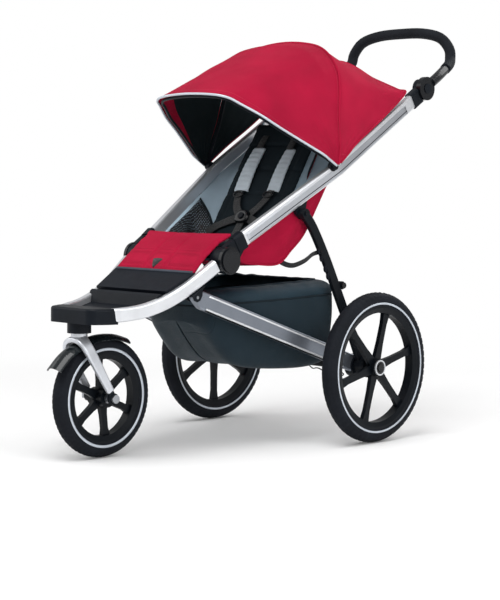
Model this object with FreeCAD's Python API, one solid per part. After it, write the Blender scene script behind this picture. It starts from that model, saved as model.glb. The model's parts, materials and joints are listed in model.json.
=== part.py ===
import FreeCAD, Part
import math
import os

from FreeCAD import Vector

# A three-wheeled folding jogging stroller: -Y is the way it rolls, +X is the child's left, +Z is up.
# Every length is in millimetres. While it is being built, y and z count from the ground under
# the rear axle; ORIGIN_Y then moves the origin to the middle of the overall length.
ORIGIN_Y = -192.6

# wheels
REAR_WHEEL_R = 203.2
FRONT_WHEEL_R = 152.4
WHEEL_X = 307.6
FRONT_AXLE_Y = -706.0
TYRE_R = 23.0
RIM_SEAT_DEPTH = 36.0
RIM_DEPTH = 19.0
SPOKE_COUNT = 6
SPOKE_PHASE = {"left": 14.0, "right": 30.0, "front": 37.0}
HUB_R = 24.0
BEARING_R = 13.0
BEARING_WIDTH = 8.0
AXLE_R = 6.0

# clearances
RUNNING = 0.05
GAP = 0.5

# frame pivots, as (y, z)
HINGE = (-433.0, 497.0)
RAIL_PIVOT = (-531.0, 406.0)
LEG_PIVOT = (-191.0, 616.0)
REAR_AXLE = (0.0, REAR_WHEEL_R)
HANDLE_PIVOT = (287.0, 967.0)
HOOD_PIVOT = (-98.0, 742.0)

# upper tubes: straight in side view, bent outwards in plan below the hood pivot
TUBE_SLOPE = 0.62
TUBE_REF = (-398.0, 536.0)
TUBE_HALF_HEIGHT = 20.0
TUBE_HALF_WIDTH = 10.0
TUBE_WALL = 2.0
FLARE = 0.195
FLARE_REF = (-398.0, 165.0)
BEND_Y = -70.0

# front tubes: (x, y, z) along the centre line from the fold hinge to the nose
FRONT_TUBE_PATH = [
    (166.0, -468.0, 484.0),
    (157.0, -508.0, 456.0),
    (146.0, -554.0, 425.0),
    (134.0, -611.0, 396.0),
    (121.0, -675.0, 376.0),
    (103.0, -735.0, 368.0),
    (72.0, -772.0, 365.0),
]
FRONT_TUBE_HALF_HEIGHT = 17.5
FRONT_TUBE_HALF_WIDTH = 10.0

# lower rails, straight from the front pivot to the axle housing
RAIL_FRONT_X = 150.0
RAIL_REAR = (243.0, -10.0, 207.0)
RAIL_HALF_HEIGHT = 23.0
RAIL_HALF_WIDTH = 9.0
RAIL_PIN_R = 4.0
RAIL_TUBE_SLOPE = math.radians(34)
RAIL_TUBE_REACH = 6.5
FOLD_TURN = math.radians(95)
RAIL_END_FACETS = 5

# swivelling front fork
SWIVEL_Y = -779.0
STEM_R = 12.0
NOSE_BOTTOM = 345.0
NOSE_TOP = 384.0
BARREL_BOTTOM = 319.5
NOSE_FRONT_Y = -812.0
NOSE_HALF_WIDTH = 78.0
NOSE_CORNER_R = 30.0
NOSE_EDGE_R = 7.0
BARREL_R = 30.0

# hood bows: the angle of each bow's plane about the pivot, and (half width, radius) along it
FRONT_BOW_ANGLE = 151.0
FRONT_BOW = [
    (252, 30), (247, 66), (229, 115), (201, 190), (180, 258), (153, 312), (134, 345), (90, 363), (0, 371),
]
MID_BOW_ANGLE = 80.0
MID_BOW = [
    (252, 30), (247, 66), (233, 125), (222, 204), (208, 256), (176, 297), (130, 328), (70, 342), (0, 347),
]
# lower and rear edge of the hood's back panel, one (x, y, z) point per point of the middle bow
REAR_HEM = [
    (250, -70, 770),
    (244, -10, 808),
    (242, 90, 872),
    (240, 196, 949),
    (214, 196, 961),
    (165, 194, 980),
    (120, 192, 998),
    (60, 190, 1030),
    (0, 188, 1048),
]
FABRIC = 2.0
BOW_R = 4.0
BOW_INSET = 15.0
FRONT_BOW_SETBACK = 1.2
HOOD_STEPS = 8
ROOF_RIDGE_SHARE = 0.78
ROOF_RIDGE_LEVEL = 0.945
TAB_LENGTH = 36.0

# handlebar centre line (x, y, z), from the left hinge up to the middle of the grip
HANDLE_PATH = [
    (239.0, 312.0, 984.0),
    (234.0, 350.0, 1004.0),
    (221.0, 395.0, 1025.0),
    (203.0, 442.0, 1045.0),
    (189.0, 466.0, 1064.0),
    (181.0, 470.0, 1094.0),
    (147.0, 470.0, 1127.0),
    (82.0, 470.0, 1143.0),
    (0.0, 470.0, 1146.0),
]
HANDLE_R = 11.0
GRIP_R = 15.5
GRIP_START = 9


# ---------------------------------------------------------------- helpers

def fuse(shapes):
    """One solid from several touching ones."""
    body = shapes[0]
    for shape in shapes[1:]:
        body = body.fuse(shape)
    return body.removeSplitter()


def outward(shape):
    """The same solid with its faces turned outwards."""
    return shape if shape.Volume > 0 else shape.reversed()


def mirrored(shape):
    return outward(shape.mirror(Vector(0, 0, 0), Vector(1, 0, 0)))


def both_sides(shape):
    """The left-hand shape and its mirror image, as one group of separate solids."""
    return Part.makeCompound([shape, mirrored(shape)])


def box(x0, x1, y0, y1, z0, z1):
    """Block between two corners."""
    return Part.makeBox(x1 - x0, y1 - y0, z1 - z0, Vector(x0, y0, z0))


def cylinder_x(x0, x1, centre, radius):
    return Part.makeCylinder(radius, x1 - x0, Vector(x0, centre[0], centre[1]), Vector(1, 0, 0))


def ring_x(x0, x1, centre, outer, inner):
    return cylinder_x(x0, x1, centre, outer).cut(cylinder_x(x0 - 1, x1 + 1, centre, inner))


def cylinder_z(z0, z1, x, y, radius):
    return Part.makeCylinder(radius, z1 - z0, Vector(x, y, z0))


def prism_x(points, x0, x1):
    """Side-view outline of (y, z) points, extruded from x0 to x1."""
    corners = [Vector(x0, y, z) for y, z in points]
    face = Part.Face(Part.makePolygon(corners + corners[:1]))
    return outward(face.extrude(Vector(x1 - x0, 0, 0)))


def prism_z(points, z0, z1):
    """Plan-view outline of (x, y) points, extruded from z0 to z1."""
    corners = [Vector(x, y, z0) for x, y in points]
    face = Part.Face(Part.makePolygon(corners + corners[:1]))
    return outward(face.extrude(Vector(0, 0, z1 - z0)))


def rounded_section(centre, across, upright, half_across, half_upright, radius):
    """Closed rectangle with round corners; across and upright are unit vectors."""
    def point(u, w):
        return centre + across * u + upright * w

    edges = []
    flat_u = half_across - radius
    flat_w = half_upright - radius
    chord = radius * (1 - math.sqrt(0.5))
    corners = [(1, 1), (-1, 1), (-1, -1), (1, -1)]
    for index, (su, sw) in enumerate(corners):
        on_side = point(su * half_across, sw * flat_w)
        on_end = point(su * flat_u, sw * half_upright)
        middle = point(su * (half_across - chord), sw * (half_upright - chord))
        start, end = (on_side, on_end) if index % 2 == 0 else (on_end, on_side)
        edges.append(Part.Arc(start, middle, end).toShape())
        next_u, next_w = corners[(index + 1) % 4]
        if index % 2 == 0:
            edges.append(Part.makeLine(end, point(next_u * flat_u, next_w * half_upright)))
        else:
            edges.append(Part.makeLine(end, point(next_u * half_across, next_w * flat_w)))
    return Part.Wire(edges)


def directions(points):
    """Unit tangent at each point of a path."""
    result = []
    for index in range(len(points)):
        before = points[max(index - 1, 0)]
        after = points[min(index + 1, len(points) - 1)]
        tangent = after - before
        result.append(tangent.normalize())
    return result


def smooth(path, steps=4):
    """Catmull-Rom curve through a list of number tuples, with steps pieces between neighbours."""
    ends = [path[0]] + list(path) + [path[-1]]
    result = []
    for before, start, end, after in zip(ends, ends[1:], ends[2:], ends[3:]):
        for step in range(steps):
            t = step / steps
            weights = (
                -0.5 * t + t * t - 0.5 * t ** 3,
                1 - 2.5 * t * t + 1.5 * t ** 3,
                0.5 * t + 2 * t * t - 1.5 * t ** 3,
                -0.5 * t * t + 0.5 * t ** 3,
            )
            result.append(tuple(
                sum(w * p[axis] for w, p in zip(weights, (before, start, end, after)))
                for axis in range(len(start))
            ))
    return result + [tuple(path[-1])]


def bar_along(path, half_width, half_height, radius):
    """Rounded bar lofted along a path, its height kept square to the path and to the X axis."""
    points = [Vector(*p) for p in path]
    wires = []
    for point, tangent in zip(points, directions(points)):
        upright = Vector(1, 0, 0).cross(tangent).normalize()
        across = tangent.cross(upright).normalize()
        wires.append(rounded_section(point, across, upright, half_width, half_height, radius))
    return outward(Part.makeLoft(wires, True, True))


def hollow_bar(path, half_width, half_height, radius, wall):
    outer = bar_along(path, half_width, half_height, radius)
    inner = bar_along(path, half_width - wall, half_height - wall, radius - wall)
    return outer.cut(inner)


def round_bar(path, radius):
    """Round rod lofted along a path, with the circles' start points kept in line."""
    points = [Vector(*p) for p in path]
    start = Vector(1, 0.3, 0.2)
    wires = []
    for point, tangent in zip(points, directions(points)):
        start = (start - tangent * start.dot(tangent)).normalize()
        circle = Part.Circle(point, tangent, radius)
        circle.XAxis = start
        wires.append(Part.Wire(circle.toShape()))
    return outward(Part.makeLoft(wires, True, True))


def band_wire(outer, inner):
    """Closed outline between an outer and an inner smooth curve."""
    outer_curve = Part.BSplineCurve()
    outer_curve.interpolate(outer)
    inner_curve = Part.BSplineCurve()
    inner_curve.interpolate(inner)
    return Part.Wire([
        outer_curve.toShape(),
        Part.makeLine(outer[-1], inner[-1]),
        inner_curve.toShape(),
        Part.makeLine(inner[0], outer[0]),
    ])


def polar(pivot, radius, angle):
    """Side-view point (y, z) at an angle in degrees from +Y about a pivot."""
    turn = math.radians(angle)
    return (pivot[0] + radius * math.cos(turn), pivot[1] + radius * math.sin(turn))


def tube_point(y, drop=0.0):
    """Point on the left upper tube's centre line, lowered square to the tube by drop."""
    x = FLARE_REF[1] + FLARE * (min(y, BEND_Y) - FLARE_REF[0])
    lean = math.atan(TUBE_SLOPE)
    z = TUBE_REF[1] + TUBE_SLOPE * (y - TUBE_REF[0])
    return (x, y + drop * math.sin(lean), z - drop * math.cos(lean))


def rail_point(share):
    """Point on the left rail's centre line, from the front pivot (0) to the axle housing (1)."""
    front = (RAIL_FRONT_X,) + RAIL_PIVOT
    return tuple(a + (b - a) * share for a, b in zip(front, RAIL_REAR))


# ---------------------------------------------------------------- wheels

def tyre(x, centre, radius):
    """Round tyre section with a flat seat where it meets the rim."""
    ring = Part.makeTorus(radius - TYRE_R, TYRE_R, Vector(x, *centre), Vector(1, 0, 0))
    seat = cylinder_x(x - 2 * TYRE_R, x + 2 * TYRE_R, centre, radius - RIM_SEAT_DEPTH)
    return ring.cut(seat)


def rim_hoop(x, centre, seat):
    """Outer hoop of the rim, revolved from its cross-section."""
    profile = [
        (-17, seat), (17, seat), (17, seat - 6), (13, seat - RIM_DEPTH),
        (-13, seat - RIM_DEPTH), (-17, seat - 6),
    ]
    corners = [Vector(x + dx, centre[0], centre[1] + r) for dx, r in profile]
    face = Part.Face(Part.makePolygon(corners + corners[:1]))
    return outward(face.revolve(Vector(x, *centre), Vector(1, 0, 0), 360))


def spoke(x, centre, seat, angle):
    """Tapered spoke, waisted between a broad root at the hub and a broad foot at the hoop."""
    tip = seat - RIM_DEPTH + 2
    outline = [
        (15, -13), (tip * 0.45, -9), (tip * 0.8, -8.5), (tip, -13),
        (tip, 13), (tip * 0.8, 8.5), (tip * 0.45, 9), (15, 13),
    ]
    points = [(centre[0] + r, centre[1] + w) for r, w in outline]
    arm = prism_x(points, x - 6, x + 6)
    arm.rotate(Vector(x, *centre), Vector(1, 0, 0), angle)
    return arm


def bearings(x, centre, starts):
    return Part.makeCompound([
        ring_x(x + start, x + start + BEARING_WIDTH, centre, BEARING_R, AXLE_R + RUNNING)
        for start in starts
    ])


def wheel_rim(x, centre, radius, phase, hub_span, bearing_starts, side):
    """Hoop, six spokes and hub in one moulding; side is +1 when outboard is +X."""
    seat = radius - RIM_SEAT_DEPTH
    inner, outer = sorted(side * end for end in hub_span)
    parts = [rim_hoop(x, centre, seat), cylinder_x(x + inner, x + outer, centre, HUB_R)]
    for index in range(SPOKE_COUNT):
        parts.append(spoke(x, centre, seat, phase + index * 360.0 / SPOKE_COUNT))
    rim = fuse(parts)
    rim = rim.cut(cylinder_x(x + inner - 1, x + outer + 1, centre, AXLE_R + 3))
    for start in bearing_starts:
        rim = rim.cut(cylinder_x(x + start, x + start + BEARING_WIDTH, centre, BEARING_R))
    return rim


# rear hub layout, as distances outboard of the wheel's middle plane
HUB_SPAN = (-23.6, 17.4)
INNER_BEARING = -23.6
OUTER_BEARING = -2.0
STUB_END = 7.0
BUTTON_SPAN = (11.0, 23.0)
BUTTON_R = 11.0
BRAKE_DISC_R = 30.0
BRAKE_PITCH_R = 22.0
BRAKE_HOLES = 12
BRAKE_PIN_R = 4.0


def rear_wheel(name, side):
    """Tyre, rim with its brake disc, bearings, trim ring and release button."""
    x = side * WHEEL_X
    starts = [INNER_BEARING, OUTER_BEARING]
    if side < 0:
        starts = [-start - BEARING_WIDTH for start in starts]
    rim = wheel_rim(x, REAR_AXLE, REAR_WHEEL_R, SPOKE_PHASE[name], HUB_SPAN, starts, side)
    pocket = sorted((x + side * (OUTER_BEARING + BEARING_WIDTH), x + side * (HUB_SPAN[1] + 1)))
    rim = rim.cut(cylinder_x(pocket[0], pocket[1], REAR_AXLE, BEARING_R))
    disc_span = sorted((x + side * HUB_SPAN[0], x + side * (HUB_SPAN[0] + 8)))
    disc = ring_x(disc_span[0], disc_span[1], REAR_AXLE, BRAKE_DISC_R, HUB_R - 1)
    rim = fuse([rim, disc])
    for index in range(BRAKE_HOLES):
        hole_centre = polar(REAR_AXLE, BRAKE_PITCH_R, 270 + index * 360.0 / BRAKE_HOLES)
        rim = rim.cut(cylinder_x(disc_span[0] - 1, disc_span[1], hole_centre, BRAKE_PIN_R + 1))
    trim_span = sorted((x + side * HUB_SPAN[1], x + side * (HUB_SPAN[1] + 3.6)))
    button_span = sorted((x + side * BUTTON_SPAN[0], x + side * BUTTON_SPAN[1]))
    return {
        "tyre_" + name: tyre(x, REAR_AXLE, REAR_WHEEL_R),
        "rim_" + name: rim,
        "bearings_" + name: bearings(x, REAR_AXLE, starts),
        "hub_trim_" + name: ring_x(trim_span[0], trim_span[1], REAR_AXLE, 21, BUTTON_R + 1.5),
        "release_button_" + name: cylinder_x(button_span[0], button_span[1], REAR_AXLE, BUTTON_R),
    }


def front_wheel():
    centre = (FRONT_AXLE_Y, FRONT_WHEEL_R)
    span = (-27.0, 27.0)
    starts = [span[0], span[1] - BEARING_WIDTH]
    return {
        "tyre_front": tyre(0, centre, FRONT_WHEEL_R),
        "rim_front": wheel_rim(0, centre, FRONT_WHEEL_R, SPOKE_PHASE["front"], span, starts, 1),
        "bearings_front": bearings(0, centre, starts),
    }


# ---------------------------------------------------------------- chassis

HOUSING_SPAN = (226.0, 253.5)
HOUSING_R = 31.0
COLLAR_R = 28.0
STUB_START = 240.0
BOSS_R = 15.0
LEG_EYE_SPAN = (254.0, 272.0)
COLLAR_SPAN = (272.5, 283.0)
AXLE_TUBE_R = 14.0


def rail_end_cutter():
    """Everything the rail's front end must stay behind, as the bracket's saddle turns around it."""
    half_planes = []
    for facet in range(RAIL_END_FACETS):
        turn = RAIL_TUBE_SLOPE + FOLD_TURN * facet / (RAIL_END_FACETS - 1)
        along = (math.cos(turn), math.sin(turn))
        out = (-along[1], along[0])
        corners = [(-120, RAIL_TUBE_REACH), (120, RAIL_TUBE_REACH), (120, 120), (-120, 120)]
        outline = [
            (RAIL_PIVOT[0] + along[0] * a + out[0] * b, RAIL_PIVOT[1] + along[1] * a + out[1] * b)
            for a, b in corners
        ]
        half_planes.append(prism_x(outline, 100, 260))
    return fuse(half_planes)


def chassis():
    """Rails, axle housings, stub axles, the tube between them and the brake pins."""
    start = rail_point(-0.05)
    rail = hollow_bar([start, RAIL_REAR], RAIL_HALF_WIDTH, RAIL_HALF_HEIGHT, 5, TUBE_WALL)
    rail_solid = bar_along([start, RAIL_REAR], RAIL_HALF_WIDTH, RAIL_HALF_HEIGHT, 5)
    plug = bar_along([start, rail_point(0.10)], RAIL_HALF_WIDTH - TUBE_WALL,
                     RAIL_HALF_HEIGHT - TUBE_WALL, 3)
    rail = fuse([rail, plug]).cut(rail_end_cutter())
    rail = rail.cut(cylinder_x(RAIL_FRONT_X - 40, RAIL_FRONT_X + 40, RAIL_PIVOT, RAIL_PIN_R + RUNNING))

    block = cylinder_x(HOUSING_SPAN[0], HOUSING_SPAN[1], REAR_AXLE, HOUSING_R)
    boss = cylinder_x(HOUSING_SPAN[1] - 1, COLLAR_SPAN[0] + 1, REAR_AXLE, BOSS_R)
    collar = cylinder_x(COLLAR_SPAN[0], COLLAR_SPAN[1], REAR_AXLE, COLLAR_R)
    housing = fuse([block, boss, collar]).cut(rail_solid)
    housing = housing.cut(cylinder_x(STUB_START, COLLAR_SPAN[1] + 1, REAR_AXLE, AXLE_R))
    pin_centre = polar(REAR_AXLE, BRAKE_PITCH_R, 270)
    bore = cylinder_x(COLLAR_SPAN[0] - 1, COLLAR_SPAN[1] + 1, pin_centre, BRAKE_PIN_R + RUNNING)
    housing = housing.cut(bore)
    pin = cylinder_x(COLLAR_SPAN[0] + GAP, COLLAR_SPAN[1] - GAP, pin_centre, BRAKE_PIN_R)
    stub = cylinder_x(STUB_START, WHEEL_X + STUB_END, REAR_AXLE, AXLE_R)

    tube_end = HOUSING_SPAN[0]
    axle_tube = ring_x(-tube_end, tube_end, REAR_AXLE, AXLE_TUBE_R, AXLE_TUBE_R - TUBE_WALL)
    return {
        "rails": both_sides(rail),
        "axle_housings": both_sides(housing),
        "stub_axles": both_sides(stub),
        "axle_tube": axle_tube.cut(both_sides(rail_solid)),
        "brake_pin_left": pin,
        "brake_pin_right": mirrored(pin),
    }


PEDAL_HALF_WIDTH = 34.0
PEDAL_SLEEVE_HALF = 40.0
PEDAL_SLEEVE_WALL = 7.0


def brake_pedal():
    """Sleeve that turns on the axle tube, with a foot paddle behind it."""
    outline = [(8, 192), (30, 186), (82, 190), (88, 195), (86, 200), (34, 201), (8, 214)]
    paddle = prism_x(outline, -PEDAL_HALF_WIDTH, PEDAL_HALF_WIDTH)
    sleeve = cylinder_x(-PEDAL_SLEEVE_HALF, PEDAL_SLEEVE_HALF, REAR_AXLE,
                        AXLE_TUBE_R + PEDAL_SLEEVE_WALL)
    bore = cylinder_x(-PEDAL_SLEEVE_HALF - 1, PEDAL_SLEEVE_HALF + 1, REAR_AXLE, AXLE_TUBE_R + RUNNING)
    return {"brake_pedal": fuse([sleeve, paddle]).cut(bore)}


# basket stations: (y, half width at the top, half width at the bottom, bottom z, top z)
BASKET = [
    (-447, 112, 100, 330, 372),
    (-400, 140, 104, 268, 380),
    (-340, 165, 118, 212, 384),
    (-220, 187, 150, 200, 388),
    (-100, 208, 178, 200, 396),
    (-44, 212, 186, 222, 398),
]
BASKET_WALL = 3.0
COVER_RISE = 40.0
COVER_LEAN = 26.0


def basket_section(y, top, bottom, low, high):
    """Six-cornered outline of the basket at one station."""
    shoulder = low + 0.45 * (high - low)
    corners = [
        (-top, high), (-top, shoulder), (-bottom, low), (bottom, low), (top, shoulder), (top, high),
    ]
    points = [Vector(x, y, z) for x, z in corners]
    return Part.makePolygon(points + points[:1])


def basket():
    """Open bag slung between the rails."""
    outer = outward(Part.makeLoft([basket_section(*s) for s in BASKET], True, True))
    inner_stations = []
    for index, (y, top, bottom, low, high) in enumerate(BASKET):
        shift = {0: BASKET_WALL, len(BASKET) - 1: -BASKET_WALL}.get(index, 0)
        inner_stations.append(
            (y + shift, top - BASKET_WALL, bottom - BASKET_WALL, low + BASKET_WALL, high + 30))
    inner = outward(Part.makeLoft([basket_section(*s) for s in inner_stations], True, True))
    return {"basket": outer.cut(inner), "basket_cover": basket_cover()}


def basket_cover():
    """Gathered skirt that closes in above the bag's rim."""
    def loop(inset, rise):
        left = [Vector(top - inset, y, high + rise) for y, top, _, _, high in BASKET]
        right = [Vector(-p.x, p.y, p.z) for p in reversed(left)]
        left[0].y += inset
        right[-1].y += inset
        left[-1].y -= inset
        right[0].y -= inset
        return left + right

    def skirt(inset, low, high):
        bottom = loop(inset, low)
        top = loop(inset + COVER_LEAN, high)
        faces = []
        count = len(bottom)
        for index in range(count):
            after = (index + 1) % count
            for triangle in ((bottom[index], bottom[after], top[after]),
                             (bottom[index], top[after], top[index])):
                faces.append(Part.Face(Part.makePolygon(list(triangle) + [triangle[0]])))
        centre_low = Vector(0, sum(p.y for p in bottom) / count, sum(p.z for p in bottom) / count)
        centre_high = Vector(0, sum(p.y for p in top) / count, sum(p.z for p in top) / count)
        for index in range(count):
            after = (index + 1) % count
            for a, b, centre in ((bottom[index], bottom[after], centre_low),
                                 (top[index], top[after], centre_high)):
                faces.append(Part.Face(Part.makePolygon([a, b, centre, a])))
        return outward(Part.makeSolid(Part.makeShell(faces)))

    outer = skirt(1.0, 1.0, COVER_RISE)
    inner = skirt(1.0 + BASKET_WALL, -8.0, COVER_RISE + 9.0)
    return outer.cut(inner)


# ---------------------------------------------------------------- front frame

LOWER_DISC_SPAN = (141.0, 159.0)
UPPER_DISC_SPAN = (159.5, 176.0)
RAIL_EARS = ((134.0, 138.0), (162.2, 166.0))
DISC_R = 34.0
CAP_SPAN = (176.0, 189.0)
CAP_R = 36.0
CAP_STEP = 4.0
CAP_FACE_R = 31.0
PIN_R = 6.0
PLUG_GAP = 0.3


def front_tube_solid(extra=0.0):
    """Left front tube as a solid bar, thickened by extra on every side."""
    return bar_along(smooth(FRONT_TUBE_PATH), FRONT_TUBE_HALF_WIDTH + extra,
                     FRONT_TUBE_HALF_HEIGHT + extra, 6)


def front_frame():
    """Bent front tubes with the nose, foot rest, fold-hinge discs and rail brackets."""
    tube_core = front_tube_solid()
    tube = hollow_bar(smooth(FRONT_TUBE_PATH), FRONT_TUBE_HALF_WIDTH, FRONT_TUBE_HALF_HEIGHT, 6,
                      TUBE_WALL)
    return {
        "front_tubes": both_sides(tube),
        "lower_knuckles": both_sides(lower_knuckle(tube_core)),
        "frame_pins": frame_pins(),
        "rail_brackets": both_sides(rail_bracket(tube_core)),
        **nose(tube_core),
        **foot_rest(tube_core),
    }


def lower_knuckle(tube_core):
    """Disc of the fold hinge, with a plug that fills the end of the front tube."""
    disc = cylinder_x(LOWER_DISC_SPAN[0], LOWER_DISC_SPAN[1], HINGE, DISC_R)
    neck = prism_x([(-440, 512), (-466, 500), (-474, 474), (-440, 468)],
                   LOWER_DISC_SPAN[0] + 6, LOWER_DISC_SPAN[1])
    plug_path = [point for point in smooth(FRONT_TUBE_PATH) if point[1] > FRONT_TUBE_PATH[1][1]]
    plug = bar_along(plug_path, FRONT_TUBE_HALF_WIDTH - TUBE_WALL - PLUG_GAP,
                     FRONT_TUBE_HALF_HEIGHT - TUBE_WALL - PLUG_GAP, 4)
    knuckle = fuse([fuse([disc, neck]).cut(tube_core), plug])
    return knuckle.cut(cylinder_x(100, 220, HINGE, PIN_R))


def frame_pins():
    """Fold-hinge pins and rail pins."""
    hinge_pin = cylinder_x(LOWER_DISC_SPAN[0] - 2, UPPER_DISC_SPAN[1] - 1, HINGE, PIN_R)
    rail_pin = cylinder_x(RAIL_EARS[0][0] - 1, RAIL_EARS[1][1] + 1, RAIL_PIVOT, RAIL_PIN_R)
    return Part.makeCompound([hinge_pin, rail_pin, mirrored(hinge_pin), mirrored(rail_pin)])


def rail_bracket(tube_core):
    """Saddle under the front tube with an ear on each side of the rail."""
    outline = [(-545, 409.5), (-541, 398), (-531, 394), (-521, 398), (-514, 410), (-512, 431.5)]
    ears = [prism_x(outline, x0, x1) for x0, x1 in RAIL_EARS]
    saddle = prism_x([(-545, 409.5), (-505, 436.5), (-503, 433.6), (-543, 406.6)],
                     RAIL_EARS[0][0], RAIL_EARS[1][1])
    bracket = fuse(ears + [saddle]).cut(tube_core)
    return bracket.cut(cylinder_x(100, 200, RAIL_PIVOT, RAIL_PIN_R))


def nose(tube_core):
    """Moulding that joins both front tubes and carries the swivel bearing."""
    half = [(60, -740), (106, -744), (100, -770), (NOSE_HALF_WIDTH, NOSE_FRONT_Y)]
    outline = half + [(-x, y) for x, y in reversed(half)]
    body = prism_z(outline, NOSE_BOTTOM, NOSE_TOP)
    corners = [edge for edge in body.Edges
               if edge.BoundBox.ZLength > NOSE_CORNER_R and edge.CenterOfMass.y < NOSE_FRONT_Y + 1]
    body = body.makeFillet(NOSE_CORNER_R, corners)
    edges = [edge for edge in body.Edges if abs(edge.CenterOfMass.z - NOSE_TOP) < 0.1]
    body = body.makeFillet(NOSE_EDGE_R, edges)
    barrel = cylinder_z(BARREL_BOTTOM, NOSE_BOTTOM + 2, 0, SWIVEL_Y, BARREL_R)
    housing = fuse([body, barrel])
    for tube in (tube_core, mirrored(tube_core)):
        housing = housing.cut(tube)
    bushing_r = STEM_R + 4
    housing = housing.cut(cylinder_z(BARREL_BOTTOM - 1, NOSE_BOTTOM + 14, 0, SWIVEL_Y, bushing_r))
    bushing = cylinder_z(BARREL_BOTTOM, NOSE_BOTTOM + 10, 0, SWIVEL_Y, bushing_r)
    bushing = bushing.cut(cylinder_z(300, 400, 0, SWIVEL_Y, STEM_R + RUNNING))
    return {"nose_housing": housing, "swivel_bushing": bushing}


PANEL_INSET = 2.0
LEG_PAD_HALF_WIDTH = 139.0


def between_tubes(inset):
    """Column over the plan area between the front tubes' centre lines, narrowed by inset."""
    half = [(x - inset, y) for x, y, _ in FRONT_TUBE_PATH]
    return prism_z(half + [(-x, y) for x, y in reversed(half)], 300, 600)


def foot_rest(tube_core):
    """Tray between the front tubes, the sloping foot panel and the padded leg panel above it."""
    tray = prism_x([
        (-736, 372), (-680, 376), (-642, 384), (-634, 412), (-626, 417), (-616, 412), (-608, 406),
        (-520, 454), (-514, 448), (-604, 397), (-640, 374), (-680, 366), (-736, 362),
    ], -170, 170)
    panel = prism_x([(-519, 463), (-527, 468), (-610, 423), (-606, 414)], -170, 170)
    tray = tray.common(between_tubes(0))
    panel = panel.common(between_tubes(PANEL_INSET))
    pad = outward(Part.makeLoft([
        rounded_section(Vector(0, -392, 556), Vector(1, 0, 0), Vector(0, 0, 1),
                        LEG_PAD_HALF_WIDTH, 6, 4),
        rounded_section(Vector(0, -517, 459), Vector(1, 0, 0), Vector(0, 0, 1),
                        LEG_PAD_HALF_WIDTH, 6, 4),
    ], True, True))
    result = {"foot_tray": tray, "foot_panel": panel, "leg_panel": pad}
    keep_clear = front_tube_solid(1.0)
    for name in ("foot_tray", "foot_panel"):
        trimmed = result[name].cut(keep_clear).cut(mirrored(keep_clear))
        result[name] = max(trimmed.Solids, key=lambda solid: solid.Volume)
    return result


# ---------------------------------------------------------------- fork

FORK_PATH = [
    (45.0, -715.0, 172.0, 11.0, 6.0),
    (46.0, -737.0, 205.0, 12.0, 6.5),
    (46.0, -761.0, 242.0, 13.5, 7.0),
    (42.5, -778.0, 272.0, 14.5, 7.0),
    (32.0, -786.0, 293.0, 15.5, 7.0),
    (17.0, -788.0, 303.5, 16.5, 7.0),
    (0.0, -788.0, 306.5, 17.0, 7.0),
]


def fork_arch():
    """Flattened arched leg, from the dropout up to the middle of the crown."""
    stations = smooth(FORK_PATH)
    points = [Vector(*p[:3]) for p in stations]
    tangents = directions(points)
    tangents[-1] = Vector(-1, 0, 0)
    wires = []
    for point, tangent, (_, _, _, half_width, half_thick) in zip(points, tangents, stations):
        thickness = tangent.cross(Vector(0, 1, 0.35)).normalize()
        fore_aft = thickness.cross(tangent).normalize()
        wires.append(rounded_section(point, thickness, fore_aft, half_thick, half_width, 5))
    return outward(Part.makeLoft(wires, True, True))


def fork():
    """Arched fork with its dropouts, axle, mudguard and quick-release lever."""
    axle = (FRONT_AXLE_Y, FRONT_WHEEL_R)
    arch = fork_arch()
    crown = cylinder_z(304, BARREL_BOTTOM - 1, 0, SWIVEL_Y, 21)
    stem = cylinder_z(306, NOSE_BOTTOM + 9, 0, SWIVEL_Y, STEM_R)
    yoke = fuse([arch, mirrored(arch), crown, stem])
    tip = bar_along([(45, -706, 152.4), (45.5, -727, 190)], 5, 9, 3)
    dropout = fuse([cylinder_x(39, 51, axle, 14), tip])
    dropout = dropout.cut(yoke).cut(cylinder_x(30, 60, axle, AXLE_R))
    spindle = cylinder_x(-50, 51, axle, AXLE_R)
    cap = cylinder_x(51, 58, axle, 11)
    return {
        "fork": yoke,
        "dropouts": both_sides(dropout),
        "front_axle": fuse([spindle, cap]),
        "fender": fender(yoke),
        "wheel_lever": wheel_lever(axle),
    }


FENDER_PATH = [(-868, 238), (-833, 271), (-786, 296), (-730, 311), (-672, 311), (-628, 299)]
FENDER_HALF_WIDTH = 28.0
FENDER_DROP = 13.0
FENDER_WALL = 2.5


def fender(yoke):
    """Mudguard: an arched strip that follows the tyre from front to back."""
    points = [Vector(0, y, z) for y, z in smooth(FENDER_PATH)]
    wires = []
    for point, tangent in zip(points, directions(points)):
        normal = Vector(1, 0, 0).cross(tangent).normalize()
        if normal.z < 0:
            normal = normal * -1
        outer, inner = [], []
        for share in (-1, -0.6, 0, 0.6, 1):
            rise = -FENDER_DROP * abs(share) ** 2.2
            outer.append(point + Vector(share * FENDER_HALF_WIDTH, 0, 0) + normal * rise)
            inset = share * (FENDER_HALF_WIDTH - FENDER_WALL)
            inner.append(point + Vector(inset, 0, 0) + normal * (rise - FENDER_WALL))
        wires.append(band_wire(outer, inner))
    strip = outward(Part.makeLoft(wires, True, True))
    pad = box(-9, 9, SWIVEL_Y - 14, SWIVEL_Y + 2, 292, 306).cut(strip)
    pad = Part.makeCompound([solid for solid in pad.Solids if solid.CenterOfMass.z > 296])
    return fuse([strip, pad]).cut(yoke)


LEVER_X = -61.0


def wheel_lever(axle):
    """Quick-release lever on the right-hand end of the front axle."""
    head = cylinder_z(axle[1] - 7, axle[1] + 7, LEVER_X, axle[0], 9)
    arm = bar_along([(LEVER_X, axle[0] + 4, axle[1]), (LEVER_X - 3, axle[0] + 56, axle[1] + 4)],
                    3, 6, 2)
    return fuse([head, arm])


# ---------------------------------------------------------------- upper frame

NECK_REACH = 46.0
UPPER_START_Y = -402.0
UPPER_END_Y = 256.0


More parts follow.
